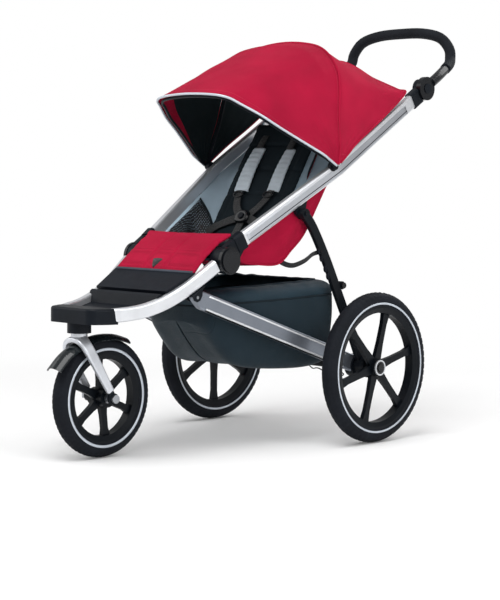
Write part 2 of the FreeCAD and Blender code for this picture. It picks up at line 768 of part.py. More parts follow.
def upper_path(start, end):
    inner = [y for y in (-110.0, -85.0, BEND_Y, -55.0, -30.0) if start < y < end]
    return [tube_point(y) for y in [start] + inner + [end]]


def upper_tube_solid(extra=0.0):
    """Straight in side view; the plan-view bend is lofted through closely spaced sections."""
    return bar_along(upper_path(UPPER_START_Y, UPPER_END_Y), TUBE_HALF_WIDTH + extra,
                     TUBE_HALF_HEIGHT + extra, 6)


def upper_frame():
    """Upper tubes with the hinge parts, brackets, sockets and hubs fixed to them."""
    core = upper_tube_solid()
    bore = bar_along(upper_path(UPPER_START_Y, UPPER_END_Y), TUBE_HALF_WIDTH - TUBE_WALL,
                     TUBE_HALF_HEIGHT - TUBE_WALL, 4)
    cap = fuse([cylinder_x(CAP_SPAN[0], CAP_SPAN[1] - CAP_STEP, HINGE, CAP_R),
                cylinder_x(CAP_SPAN[1] - CAP_STEP, CAP_SPAN[1], HINGE, CAP_FACE_R)])
    return {
        "upper_tubes": both_sides(core.cut(bore)),
        "upper_knuckles": both_sides(upper_knuckle(core)),
        "hinge_caps": both_sides(cap),
        "leg_brackets": both_sides(leg_bracket(core)),
        "handle_sockets": both_sides(handle_socket(core)),
        "hood_hubs": both_sides(hood_hub(core)),
    }


def upper_knuckle(core):
    """Disc of the fold hinge with the socket that holds the upper tube."""
    socket = bar_along([tube_point(UPPER_START_Y + 2), tube_point(-374)], 13, 24, 7)
    neck = prism_x([(-448, 528), (-400, 560), (-372, 528), (-415, 468)], UPPER_DISC_SPAN[0],
                   UPPER_DISC_SPAN[1])
    neck = neck.common(cylinder_x(100, 220, TUBE_REF, NECK_REACH))
    disc = cylinder_x(UPPER_DISC_SPAN[0], UPPER_DISC_SPAN[1], HINGE, DISC_R)
    knuckle = fuse([disc, neck, socket]).cut(core)
    knuckle = knuckle.cut(cylinder_x(100, UPPER_DISC_SPAN[0], HINGE, DISC_R + 3))
    return knuckle.cut(cylinder_x(100, UPPER_DISC_SPAN[1] + 1, HINGE, PIN_R + RUNNING))


def leg_bracket(core):
    """Ear hung under the upper tube beside the rear leg's top eye."""
    y, z = LEG_PIVOT
    ear = prism_x([(y - 14, z - 4), (y, z - 14), (y + 14, z - 2), (y + 26, z + 50), (y - 30, z + 20)],
                  197, 206.5)
    return ear.cut(core)


SOCKET_SPAN = (214.0, 232.0)
KNUCKLE_SPAN = (232.5, 247.0)
SOCKET_DISC_R = 27.0
KNUCKLE_DISC_R = 33.0
HANDLE_BOSS_R = 8.0
HANDLE_BUTTON_R = 14.0


def handle_socket(core):
    """Cap on the upper tube's top end with the inner disc of the handle hinge."""
    sleeve = bar_along([tube_point(234), tube_point(276)], 13, 23, 7)
    disc = cylinder_x(SOCKET_SPAN[0], SOCKET_SPAN[1], HANDLE_PIVOT, SOCKET_DISC_R)
    boss = cylinder_x(SOCKET_SPAN[1] - 1, KNUCKLE_SPAN[0] + 6, HANDLE_PIVOT, HANDLE_BOSS_R)
    sleeve = sleeve.cut(cylinder_x(SOCKET_SPAN[1], 260, HANDLE_PIVOT, 36))
    return fuse([sleeve, disc, boss]).cut(core)


HUB_END_X = 246.5
BOW_EYES = {"mid": (237.0, 241.0), "front": (241.5, 245.5)}


def hood_hub(core):
    """Small hub on the outer face of the upper tube that the hood bows turn on."""
    base = cylinder_x(226, BOW_EYES["mid"][0] - GAP, HOOD_PIVOT, 13)
    pin = cylinder_x(230, HUB_END_X, HOOD_PIVOT, 4)
    return fuse([base, pin]).cut(core)


# ---------------------------------------------------------------- handlebar

def handlebar():
    """Bent handle tube with its foam grip, hinge knuckles and push buttons."""
    full = smooth(HANDLE_PATH + [(-x, y, z) for x, y, z in reversed(HANDLE_PATH[:-1])])
    solid = round_bar(full, HANDLE_R)
    tube = solid.cut(round_bar(full, HANDLE_R - TUBE_WALL))
    grip = round_bar(full[GRIP_START:-GRIP_START], GRIP_R).cut(solid)
    left = handle_knuckle(solid)
    button = cylinder_x(KNUCKLE_SPAN[1] - 6, KNUCKLE_SPAN[1] + 2, HANDLE_PIVOT,
                        HANDLE_BUTTON_R)
    return {
        "handle_tube": tube,
        "handle_grip": grip,
        "handle_knuckles": both_sides(left),
        "handle_button_left": button,
        "handle_button_right": mirrored(button),
    }


def handle_knuckle(tube_core):
    """Outer disc of the handle hinge with the sleeve that holds the handlebar."""
    disc = cylinder_x(KNUCKLE_SPAN[0], KNUCKLE_SPAN[1], HANDLE_PIVOT, KNUCKLE_DISC_R)
    sleeve = round_bar(smooth(HANDLE_PATH[:3]), HANDLE_R + 3)
    sleeve = sleeve.cut(cylinder_x(200, KNUCKLE_SPAN[0], HANDLE_PIVOT, SOCKET_DISC_R + 2))
    knuckle = fuse([disc, sleeve]).cut(tube_core)
    knuckle = knuckle.cut(cylinder_x(230, KNUCKLE_SPAN[0] + 6.5, HANDLE_PIVOT, HANDLE_BOSS_R + RUNNING))
    return knuckle.cut(cylinder_x(KNUCKLE_SPAN[1] - 9.5, 260, HANDLE_PIVOT,
                                  HANDLE_BUTTON_R + RUNNING))


# ---------------------------------------------------------------- rear legs

LEG_PATH = [
    (216.0, -191.0, 616.0),
    (220.0, -160.0, 578.0),
    (229.0, -114.0, 490.0),
    (243.0, -75.0, 390.0),
    (256.0, -36.0, 292.0),
    (263.0, 0.0, REAR_WHEEL_R),
]


CATCH_CENTRE = (-66.0, 424.0)
CATCH_R = 4.0
LEG_EYE_R = 14.0
LEG_FOOT_R = 25.0


def rear_legs():
    """Curved legs with an eye at each end; the left one carries the pull-out fold catch."""
    shaft = bar_along(smooth(LEG_PATH), 8, 13, 4)
    top_eye = cylinder_x(207, 225, LEG_PIVOT, LEG_EYE_R)
    bolt = cylinder_x(225, 229, LEG_PIVOT, 7)
    foot = cylinder_x(LEG_EYE_SPAN[0], LEG_EYE_SPAN[1], REAR_AXLE, LEG_FOOT_R)
    leg = fuse([shaft, top_eye, bolt, foot])
    leg = leg.cut(cylinder_x(COLLAR_SPAN[0] - 0.5, 300, REAR_AXLE, 40))
    leg = leg.cut(cylinder_x(200, LEG_EYE_SPAN[0], REAR_AXLE, 40))
    leg = leg.cut(cylinder_x(200, 300, REAR_AXLE, BOSS_R + RUNNING))
    catch_bore = cylinder_x(230, 260, CATCH_CENTRE, CATCH_R + RUNNING)
    lug = cylinder_x(233, 246, CATCH_CENTRE, 11)
    leg = fuse([leg, lug]).cut(catch_bore)
    catch = fuse([cylinder_x(228, 247, CATCH_CENTRE, CATCH_R),
                  cylinder_x(247, 253, CATCH_CENTRE, 2 * CATCH_R)])
    return {"rear_legs": both_sides(leg), "fold_catch": catch}


# ---------------------------------------------------------------- seat

def wall_point(y, z, inset):
    """Point on a plane that follows the upper tube's flare, inset towards the seat's middle."""
    x = FLARE_REF[1] + FLARE * (y - FLARE_REF[0]) - inset
    return Vector(x, y, z)


def seat():
    """Cloth side walls and floor, the seat pad and the backrest."""
    outline = [(-388, 524), (-362, 486), (-250, 484), (-168, 562), (-92, 700), (-120, 682)]
    corners = [wall_point(y, z, TUBE_HALF_WIDTH + 5) for y, z in outline]
    wall = Part.Face(Part.makePolygon(corners + corners[:1])).extrude(Vector(-FABRIC, 0, 0))
    wall = outward(wall)
    floor_outline = [(-362, 486), (-250, 484), (-250, 487), (-362, 489)]
    floor = prism_x(floor_outline, -150, 150)
    shell = Part.makeCompound([wall, mirrored(wall), floor])
    pan = prism_x([(-380, 540), (-370, 520), (-262, 492), (-252, 510), (-262, 524), (-372, 552)],
                  -138, 138)
    return {"seat_shell": shell, "seat_pan": pan, **seat_back()}


RECLINE_PIVOT = (-240.0, 500.0)
BACK_LEAN = math.radians(58)
BACK_HALF_WIDTH = 140.0
BACK_HALF_THICK = 9.0
BACK_LENGTH = 440.0


def seat_back():
    """Backrest with its roll-bar edge, the shoulder pads, webbing and buckle in front of it."""
    base_y, base_z = RECLINE_PIVOT
    along = (math.cos(BACK_LEAN), math.sin(BACK_LEAN))
    out = (-math.sin(BACK_LEAN), math.cos(BACK_LEAN))

    def at(distance, thickness):
        return (base_y + along[0] * distance + out[0] * thickness,
                base_z + along[1] * distance + out[1] * thickness)

    def slab(start, end, low, high, x0, x1):
        """Block from start to end up the backrest, and from low to high in front of it."""
        return prism_x([at(start, low), at(end, low), at(end, high), at(start, high)], x0, x1)

    back = slab(12, BACK_LENGTH, -BACK_HALF_THICK, BACK_HALF_THICK, -BACK_HALF_WIDTH, BACK_HALF_WIDTH)
    roll = cylinder_x(-BACK_HALF_WIDTH, BACK_HALF_WIDTH, RECLINE_PIVOT, 8)
    hinge_strip = slab(0, 14, -6, 6, -BACK_HALF_WIDTH, BACK_HALF_WIDTH)
    back = fuse([back, roll, hinge_strip])
    pads = slab(200, 330, 10, 20, 32, 84)
    webs = slab(70, 199, 10, 13, 40, 76)
    lap = slab(60, 69.5, 10, 24, -110, 110)
    buckle = slab(88, 128, 14, 30, -24, 24)
    stalk = slab(69.5, 87.5, 14, 24, -14, 14)
    harness = fuse([lap, stalk, webs, mirrored(webs)])
    pocket = cylinder_along(at(108, 22), out, -2, 12, 9 + RUNNING)
    button = cylinder_along(at(108, 22), out, 0, 11, 9)
    return {
        "seat_back": back,
        "shoulder_pads": Part.makeCompound([pads, mirrored(pads)]),
        "harness": harness,
        "buckle": buckle.cut(pocket),
        "buckle_button": button,
    }


def cylinder_along(centre, direction, start, end, radius):
    base = Vector(0, centre[0] + direction[0] * start, centre[1] + direction[1] * start)
    return Part.makeCylinder(radius, end - start, base, Vector(0, direction[0], direction[1]))


# ---------------------------------------------------------------- hood

def bow_points(profile, angle, inset=0.0):
    """Points over the whole bow from the left pivot to the right one, moved inwards by inset."""
    half = []
    for index, (x, radius) in enumerate(profile):
        before = profile[max(index - 1, 0)]
        after = profile[min(index + 1, len(profile) - 1)]
        run = (after[0] - before[0], after[1] - before[1])
        if index == len(profile) - 1:
            run = (-1.0, 0.0)
        length = math.hypot(*run)
        normal = (run[1] / length, -run[0] / length)
        y, z = polar(HOOD_PIVOT, radius - normal[1] * inset, angle)
        half.append(Vector(x - normal[0] * inset, y, z))
    return half + [Vector(-p.x, p.y, p.z) for p in reversed(half[:-1])]


def hood_section(profile, angle):
    """Outer and inner points of the fabric over one bow."""
    return bow_points(profile, angle), bow_points(profile, angle, FABRIC)


def rear_section():
    half = [Vector(*p) for p in REAR_HEM]
    outer = half + [Vector(-p.x, p.y, p.z) for p in reversed(half[:-1])]
    inner = []
    for point in outer:
        inward = Vector(-point.x, 0, HOOD_PIVOT[1] + 60 - point.z)
        inner.append(point + inward.normalize() * FABRIC)
    return outer, inner


def sheet(sections):
    """Closed sheet of cloth through (outer row, inner row) sections, faceted between the rows."""
    faces = []

    def patch(a, b, c, d):
        for corners in ((a, b, c), (a, c, d)):
            faces.append(Part.Face(Part.makePolygon(list(corners) + [corners[0]])))

    for (outer, inner), (next_outer, next_inner) in zip(sections, sections[1:]):
        for index in range(len(outer) - 1):
            after = index + 1
            patch(outer[index], outer[after], next_outer[after], next_outer[index])
            patch(inner[index], next_inner[index], next_inner[after], inner[after])
        patch(outer[0], next_outer[0], next_inner[0], inner[0])
        patch(outer[-1], inner[-1], next_inner[-1], next_outer[-1])
    for outer, inner in (sections[0], sections[-1]):
        for index in range(len(outer) - 1):
            patch(outer[index], inner[index], inner[index + 1], outer[index + 1])
    shell = Part.makeShell(faces)
    shell.sewShape()
    return outward(Part.makeSolid(shell))


def roof_level(share):
    """Distance of the cloth from the hood pivot, against the bows' own: straight to a ridge, then on."""
    span = math.radians(FRONT_BOW_ANGLE - MID_BOW_ANGLE)
    if share < ROOF_RIDGE_SHARE:
        start, end, low, high = 0.0, ROOF_RIDGE_SHARE, 1.0, ROOF_RIDGE_LEVEL
    else:
        start, end, low, high = ROOF_RIDGE_SHARE, 1.0, ROOF_RIDGE_LEVEL, 1.0
    done = math.sin(span * (share - start))
    left = math.sin(span * (end - share))
    return low * high * math.sin(span * (end - start)) / (low * done + high * left)


def between(angle_share):
    """Profile and angle part-way from the front bow to the middle bow."""
    angle = FRONT_BOW_ANGLE + (MID_BOW_ANGLE - FRONT_BOW_ANGLE) * angle_share
    level = roof_level(angle_share)
    profile = [
        (a[0] + (b[0] - a[0]) * angle_share, (a[1] + (b[1] - a[1]) * angle_share) * level)
        for a, b in zip(FRONT_BOW, MID_BOW)
    ]
    return profile, angle


def hood():
    """Two cloth panels and the bows under them."""
    shares = [0.012 + 0.973 * step / HOOD_STEPS for step in range(HOOD_STEPS + 1)]
    front_sections = [hood_section(*between(share)) for share in shares]
    rear_sections = [hood_section(MID_BOW, MID_BOW_ANGLE - 1.5), rear_section()]
    return {
        "hood_front_panel": sheet(front_sections),
        "hood_rear_panel": sheet(rear_sections),
        "middle_bow": bow(MID_BOW, MID_BOW_ANGLE, "mid"),
        "front_bow": bow(FRONT_BOW, FRONT_BOW_ANGLE - FRONT_BOW_SETBACK, "front"),
    }


def bow(profile, angle, name):
    """Bent rod under the fabric; each end is a flat tab with an eye that turns on the hood hub."""
    low, high = BOW_EYES[name]
    middle = (low + high) / 2
    rise = [p for p in bow_points(profile, angle, BOW_INSET) if abs(p.x) < 222]
    knee = Vector(middle, *polar(HOOD_PIVOT, TAB_LENGTH, angle))
    path = [knee] + rise + [Vector(-knee.x, knee.y, knee.z)]
    rod = round_bar(smooth([tuple(p) for p in path]), BOW_R)
    eye = cylinder_x(low, high, HOOD_PIVOT, 9)
    half_turn = math.degrees(math.atan2(BOW_R, TAB_LENGTH))
    tab = prism_x([
        polar(HOOD_PIVOT, 5, angle + 80),
        polar(HOOD_PIVOT, 5, angle - 80),
        polar(HOOD_PIVOT, TAB_LENGTH + 4, angle - half_turn),
        polar(HOOD_PIVOT, TAB_LENGTH + 4, angle + half_turn),
    ], low, high)
    end = fuse([eye, tab]).cut(cylinder_x(low - 1, high + 1, HOOD_PIVOT, 4 + RUNNING))
    return fuse([rod, end, mirrored(end)])


# ---------------------------------------------------------------- assembly

def all_parts():
    return {
        **chassis(),
        **brake_pedal(),
        **basket(),
        **rear_wheel("left", 1),
        **rear_wheel("right", -1),
        **front_wheel(),
        **front_frame(),
        **fork(),
        **upper_frame(),
        **handlebar(),
        **rear_legs(),
        **seat(),
        **hood(),
    }


def main():
    os.makedirs("parts", exist_ok=True)
    for name, shape in all_parts().items():
        placed = shape.copy()
        placed.translate(Vector(0, -ORIGIN_Y, 0))
        placed.exportStep("parts/" + name + ".step")


main()
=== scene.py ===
import json
import math

import bmesh
import bpy
from mathutils import Matrix, Vector, noise


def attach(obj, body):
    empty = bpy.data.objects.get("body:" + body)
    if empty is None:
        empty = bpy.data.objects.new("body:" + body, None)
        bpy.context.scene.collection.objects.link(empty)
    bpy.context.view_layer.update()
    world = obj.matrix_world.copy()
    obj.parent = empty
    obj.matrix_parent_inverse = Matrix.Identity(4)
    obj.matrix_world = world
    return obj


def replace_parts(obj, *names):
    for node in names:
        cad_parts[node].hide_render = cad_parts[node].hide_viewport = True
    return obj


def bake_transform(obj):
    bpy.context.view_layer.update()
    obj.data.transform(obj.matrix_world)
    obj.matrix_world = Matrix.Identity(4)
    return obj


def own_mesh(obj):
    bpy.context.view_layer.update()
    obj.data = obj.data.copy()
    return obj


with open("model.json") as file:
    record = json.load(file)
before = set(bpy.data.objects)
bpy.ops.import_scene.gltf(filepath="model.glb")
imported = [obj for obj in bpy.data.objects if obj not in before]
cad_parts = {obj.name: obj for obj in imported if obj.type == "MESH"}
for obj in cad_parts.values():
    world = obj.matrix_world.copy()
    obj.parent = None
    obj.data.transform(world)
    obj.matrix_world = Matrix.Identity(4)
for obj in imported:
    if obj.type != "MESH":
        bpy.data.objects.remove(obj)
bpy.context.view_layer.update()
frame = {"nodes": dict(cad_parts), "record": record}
NODES = frame["nodes"]

# The lengths below are in millimetres, counted like the CAD's own: y from the rear axle, z from the ground.
MM = 0.001
AXLE_Y = 192.6
SIDES = (("left", 1), ("right", -1))

# wheel, hood pivot and backrest sizes that match the CAD; a centre or a pivot is (y, z)
HOOD_PIVOT = (-98.0, 742.0)
REAR_TYRE_R = 203.2
FRONT_TYRE_R = 152.4
REAR_WHEEL = (0.0, REAR_TYRE_R)
FRONT_WHEEL = (-706.0, FRONT_TYRE_R)
REAR_WHEEL_X = 307.6
TYRE_R = 23.0
RECLINE_PIVOT = (-240.0, 500.0)
BACK_LEAN = math.radians(58)

# Half of each hood bow, from its foot to its middle, as (half width, distance from the hood pivot). The
# first two points stand in for the CAD's first one and start nearer the pivot. The rest are the CAD's.
FRONT_BOW = [
    (252, 5), (250, 40), (247, 66), (229, 115), (201, 190),
    (180, 258), (153, 312), (134, 345), (90, 363), (0, 371),
]
MID_BOW = [
    (252, 5), (250, 40), (247, 66), (233, 125), (222, 204),
    (208, 256), (176, 297), (130, 328), (70, 342), (0, 347),
]
FRONT_BOW_ANGLE = 151.0
MID_BOW_ANGLE = 80.0

# Half of the hood's rear hem, as (x, y, z). The first two points stand in for the CAD's first one and
# start lower. The rest are the CAD's.
REAR_HEM = [
    (250, -84, 752), (248, -50, 778), (244, -10, 808), (242, 90, 872), (240, 196, 949), (214, 196, 961),
    (165, 194, 980), (120, 192, 998), (60, 190, 1030), (0, 188, 1048),
]

# thicknesses of cloth
SHEET = 1.6
BAG_SHEET = 1.8
NET_SHEET = 0.8


# ---------------------------------------------------------------- geometry helpers

def at(x, y, z):
    """Point in the row frame, in metres, from millimetres counted from the rear axle."""
    return Vector((x * MM, (y + AXLE_Y) * MM, z * MM))


def catmull(points, steps):
    """Smooth path through the points, with the given number of steps per span."""
    path = []
    for index in range(len(points) - 1):
        p0 = points[max(index - 1, 0)]
        p1, p2 = points[index], points[index + 1]
        p3 = points[min(index + 2, len(points) - 1)]
        for step in range(steps):
            t = step / steps
            path.append(0.5 * (2 * p1 + (p2 - p0) * t + (2 * p0 - 5 * p1 + 4 * p2 - p3) * t * t
                               + (3 * p1 - p0 - 3 * p2 + p3) * t ** 3))
    path.append(points[-1].copy())
    return path


def chaikin(loop, rounds):
    """Closed loop with its corners cut, so that it reads as a soft outline."""
    for _ in range(rounds):
        cut = []
        for index, point in enumerate(loop):
            after = loop[(index + 1) % len(loop)]
            cut += [point.lerp(after, 0.25), point.lerp(after, 0.75)]
        loop = cut
    return loop


def tangents(path, closed=False):
    """Unit direction of the path at each of its points."""
    result = []
    last = len(path) - 1
    for index in range(len(path)):
        before = path[(index - 1) % len(path)] if closed else path[max(index - 1, 0)]
        after = path[(index + 1) % len(path)] if closed else path[min(index + 1, last)]
        result.append((after - before).normalized())
    return result


def mirrored(half):
    """Whole line from its half: the half's last point lies on the middle plane."""
    return half + [Vector((-p.x, p.y, p.z)) for p in reversed(half[:-1])]


def wobble(point, scale, seed=0.0):
    """Smooth repeatable noise between about -1 and 1."""
    return noise.noise(point * scale + Vector((seed, seed * 0.7, -seed)))


def add_mesh(name, vertices, faces, materials, body=None, slot=None, face_slots=None, flat=False):
    """Mesh object with its faces turned outwards; it rides on a body if given. Its slot argument is not
    used.
    """
    mesh = bpy.data.meshes.new(name)
    mesh.from_pydata([tuple(v) for v in vertices], [], faces)
    for item in materials:
        mesh.materials.append(item)
    if face_slots:
        mesh.polygons.foreach_set("material_index", face_slots)
    made = bmesh.new()
    made.from_mesh(mesh)
    bmesh.ops.recalc_face_normals(made, faces=made.faces)
    made.to_mesh(mesh)
    made.free()
    mesh.polygons.foreach_set("use_smooth", [not flat] * len(mesh.polygons))
    mesh.update()
    obj = bpy.data.objects.new(name, mesh)
    bpy.context.scene.collection.objects.link(obj)
    if body:
        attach(obj, body)
    return obj


def grid_normals(rows):
    """Unit normals of a grid of points, all on the same side."""
    normals = []
    for r, row in enumerate(rows):
        line = []
        for c in range(len(row)):
            down = rows[min(r + 1, len(rows) - 1)][c] - rows[max(r - 1, 0)][c]
            along = row[min(c + 1, len(row) - 1)] - row[max(c - 1, 0)]
            normal = along.cross(down)
            line.append(normal.normalized() if normal.length > 1e-12 else Vector((0, 0, 1)))
        normals.append(line)
    return normals


def outward_normals(rows, inside):
    """Grid normals, all turned away from the point inside."""
    normals = grid_normals(rows)
    if inside is None:
        return normals
    facing = sum((p - inside).dot(n) for row, line in zip(rows, normals) for p, n in zip(row, line))
    return normals if facing > 0 else [[-n for n in line] for line in normals]


def cloth_sheet(name, rows, thickness, materials, hem_rows=0, inside=None, **extra):
    """Closed sheet of cloth on a grid. Faces on the back take material 1 beyond the turned-in hem."""
    normals = outward_normals(rows, inside)
    width = len(rows[0])
    front = [p for row in rows for p in row]
    back = [p - n * thickness * MM for row, line in zip(rows, normals) for p, n in zip(row, line)]
    vertices, faces, slots = front + back, [], []
    offset = len(front)
    for r in range(len(rows) - 1):
        for c in range(width - 1):
            a, b = r * width + c, r * width + c + 1
            d, e = a + width, b + width
            faces += [(a, b, e, d), (offset + a, offset + d, offset + e, offset + b)]
            slots += [0, 0 if r < hem_rows or len(materials) < 2 else 1]
    edge = [c for c in range(width)]
    edge += [r * width + width - 1 for r in range(1, len(rows))]
    edge += [(len(rows) - 1) * width + c for c in range(width - 2, -1, -1)]
    edge += [r * width for r in range(len(rows) - 2, 0, -1)]
    for a, b in zip(edge, edge[1:] + edge[:1]):
        faces.append((a, offset + a, offset + b, b))
        slots.append(0)
    return add_mesh(name, vertices, faces, materials, face_slots=slots, **extra)


def sweep(name, path, section, materials, closed=False, side=None, **extra):
    """Sweeps section, a list of (across, up) in mm, along the path; side fixes which way is across."""
    turn = tangents(path, closed)
    across = side or Vector((0, 0, 1)).cross(turn[0])
    if across.length < 1e-3:
        across = Vector((1, 0, 0))
    vertices, faces = [], []
    count = len(section)
    for point, tangent in zip(path, turn):
        wanted = side if side else across
        across = (wanted - tangent * wanted.dot(tangent)).normalized()
        up = tangent.cross(across)
        vertices += [point + across * a * MM + up * b * MM for a, b in section]
    rings = len(path)
    for r in range(rings if closed else rings - 1):
        after = (r + 1) % rings
        for c in range(count):
            d = (c + 1) % count
            faces.append((r * count + c, r * count + d, after * count + d, after * count + c))
    if not closed:
        faces += [tuple(range(count)), tuple(range((rings - 1) * count, rings * count))]
    return add_mesh(name, vertices, faces, materials, **extra)


def circle(radius, count=10):
    """Round section for sweep."""
    step = math.tau / count
    return [(radius * math.cos(step * i), radius * math.sin(step * i)) for i in range(count)]


def strap_section(width, thickness):
    """Flat webbing: rounded edges and a slightly raised selvedge."""
    w, t = width / 2, thickness / 2
    return [(-w, 0), (-w + t, t), (-w * 0.7, t * 0.8), (0, t * 0.75), (w * 0.7, t * 0.8), (w - t, t),
            (w, 0), (w - t, -t), (0, -t * 0.8), (-w + t, -t)]


def tube(name, path, radius, mat, **extra):
    """Round cord or wire along the path."""
    return sweep(name, path, circle(radius), [mat], **extra)


STITCH_PITCH = 5.5
STITCH_LENGTH = 3.2
STITCH_WIDTH = 0.9
STITCH_HEIGHT = 1.0
STITCH_LIFT = 0.5

# one stitch: eight points round its foot, then two on its ridge, as shares of its half sizes
STITCH_POINTS = (
    (-1, -0.6, 0), (-0.6, -1, 0), (0.6, -1, 0), (1, -0.6, 0), (1, 0.6, 0),
    (0.6, 1, 0), (-0.6, 1, 0), (-1, 0.6, 0), (-0.4, 0, 1), (0.4, 0, 1),
)
STITCH_FACES = (
    (0, 1, 8), (1, 2, 9, 8), (2, 3, 9), (3, 4, 9), (4, 5, 9), (5, 6, 8, 9), (6, 7, 8), (7, 0, 8),
    (7, 6, 5, 4, 3, 2, 1, 0),
)


def stitches(name, path, normals, body):
    """Row of short raised red stitches along a path."""
    vertices, faces = [], []
    travelled, wanted = 0.0, STITCH_PITCH / 2
    for index in range(len(path) - 1):
        a, b = path[index], path[index + 1]
        span = (b - a).length / MM
        while span > 0 and travelled + span > wanted:
            share = (wanted - travelled) / span
            centre = a.lerp(b, share) + normals[index] * STITCH_LIFT * MM
            tangent = (b - a).normalized()
            across = tangent.cross(normals[index]).normalized()
            start = len(vertices)
            for i, j, k in STITCH_POINTS:
                vertices.append(centre + tangent * i * STITCH_LENGTH / 2 * MM
                                + across * j * STITCH_WIDTH / 2 * MM
                                + normals[index] * k * STITCH_HEIGHT / 2 * MM)
            faces += [tuple(start + i for i in face) for face in STITCH_FACES]
            wanted += STITCH_PITCH
        travelled += span
    add_mesh(name, vertices, faces, [THREAD_RED], body=body, slot="red_fabric")


# ---------------------------------------------------------------- materials

def srgb(red, green, blue):
    """Linear colour from 0-255 sRGB."""
    def linear(value):
        value /= 255
        return value / 12.92 if value <= 0.04045 else ((value + 0.055) / 1.055) ** 2.4
    return (linear(red), linear(green), linear(blue), 1.0)


class Shader:
    """Small builder for a node material: colour variation, roughness variation and bump."""

    def __init__(self, name, colour, rough, metal=0.0, sheen=0.0, coat=0.0, gloss=0.5):
        self.material = bpy.data.materials.new(name)
        self.material.use_nodes = True
        self.tree = self.material.node_tree
        self.bsdf = self.tree.nodes["Principled BSDF"]
        self.bsdf.inputs["Base Color"].default_value = colour
        self.bsdf.inputs["Roughness"].default_value = rough
        self.bsdf.inputs["Metallic"].default_value = metal
        self.bsdf.inputs["Sheen Weight"].default_value = sheen
        self.bsdf.inputs["Coat Weight"].default_value = coat
        self.bsdf.inputs["Specular IOR Level"].default_value = gloss
        self.material.diffuse_color = colour
        self.colour, self.rough = colour, rough
        self.place = self.node("ShaderNodeTexCoord").outputs["Object"]
        self.normal = None

    def node(self, kind, **settings):
        made = self.tree.nodes.new(kind)
        for key, value in settings.items():
            setattr(made, key, value)
        return made

    def link(self, source, target):
        self.tree.links.new(source, target)

    def math(self, operation, a, b=None):
        made = self.node("ShaderNodeMath", operation=operation)
        for index, value in enumerate((a, b)):
            if value is None:
                continue
            if isinstance(value, (int, float)):
                made.inputs[index].default_value = value
            else:
                self.link(value, made.inputs[index])
        return made.outputs[0]

    def noise(self, scale, detail=4.0, stretch=(1, 1, 1)):
        mapping = self.node("ShaderNodeMapping")
        mapping.inputs["Scale"].default_value = stretch
        self.link(self.place, mapping.inputs["Vector"])
        made = self.node("ShaderNodeTexNoise")
        made.inputs["Scale"].default_value = scale
        made.inputs["Detail"].default_value = detail
        self.link(mapping.outputs[0], made.inputs["Vector"])
        return made.outputs["Fac"]

    def weave(self, pitch):
        """Over-and-under threads: high where two crossing sine bands agree."""
        split = self.node("ShaderNodeSeparateXYZ")
        self.link(self.place, split.inputs[0])
        waves = [self.math("SINE", self.math("MULTIPLY", axis, math.tau / (pitch * MM)))
                 for axis in split.outputs]
        pairs = [self.math("MULTIPLY", waves[i], waves[(i + 1) % 3]) for i in range(3)]
        return self.math("ADD", self.math("ADD", pairs[0], pairs[1]), pairs[2])

    def tint(self, factor, low, high):
        """Colour runs from low times to high times the base colour as factor goes from 0.3 to 0.7."""
        ramp = self.node("ShaderNodeValToRGB")
        ramp.color_ramp.elements[0].position = 0.3
        ramp.color_ramp.elements[1].position = 0.7
        ramp.color_ramp.elements[0].color = tuple(c * low for c in self.colour[:3]) + (1,)
        ramp.color_ramp.elements[1].color = tuple(min(c * high, 1) for c in self.colour[:3]) + (1,)
        self.link(factor, ramp.inputs[0])
        self.link(ramp.outputs[0], self.bsdf.inputs["Base Color"])
        return ramp.outputs[0]

    def vary_rough(self, factor, spread):
        ramp = self.node("ShaderNodeMapRange")
        ramp.inputs["To Min"].default_value = max(self.rough - spread, 0.02)
        ramp.inputs["To Max"].default_value = min(self.rough + spread, 1.0)
        self.link(factor, ramp.inputs["Value"])
        self.link(ramp.outputs[0], self.bsdf.inputs["Roughness"])

    def bump(self, height, distance, strength=1.0):
        made = self.node("ShaderNodeBump")
        made.inputs["Strength"].default_value = strength
        made.inputs["Distance"].default_value = distance * MM
        self.link(height, made.inputs["Height"])
        if self.normal:
            self.link(self.normal, made.inputs["Normal"])
        self.normal = made.outputs[0]
        self.link(self.normal, self.bsdf.inputs["Normal"])


THREAD_DEPTH = 0.16
DRAWN_LINES = (30, 1, 30)


def woven(name, colour, pitch=1.1, rough=0.82, crease=1.6, gloss=0.12):
    """Woven polyester: threads, broad creases and slow colour drift."""
    shader = Shader(name, colour, rough, gloss=gloss)
    drift = shader.noise(9, 6)
    shader.tint(drift, 0.86, 1.12)
    shader.vary_rough(shader.noise(30), 0.08)
    shader.bump(shader.weave(pitch), THREAD_DEPTH)
    shader.bump(shader.noise(16, 3), crease)
    return shader.material


def moulded(name, colour, rough=0.5, grain=0.12, coat=0.0, gloss=0.13):
    """Moulded plastic with a fine eroded grain and a faint drift in colour."""
    shader = Shader(name, colour, rough, coat=coat, gloss=gloss)
    shader.tint(shader.noise(22), 0.85, 1.15)
    shader.vary_rough(shader.noise(45), 0.07)
    shader.bump(shader.noise(900, 2), grain)
    return shader.material


def metal(name, colour, rough=0.3, metallic=1.0):
    """Extruded or painted metal with lengthwise drawing lines."""
    shader = Shader(name, colour, rough, metal=metallic)
    shader.tint(shader.noise(14), 0.93, 1.05)
    shader.vary_rough(shader.noise(40, 5, DRAWN_LINES), 0.07)
    shader.bump(shader.noise(60, 3, DRAWN_LINES), 0.03)
    return shader.material


def rubber(name, colour):
    """Matt rubber or foam with a blotchy tone and a fine grain."""
    shader = Shader(name, colour, 0.72, gloss=0.14)
    shader.tint(shader.noise(12, 8), 0.75, 1.35)
    shader.vary_rough(shader.noise(30), 0.12)
    shader.bump(shader.noise(500, 3), 0.15)
    return shader.material


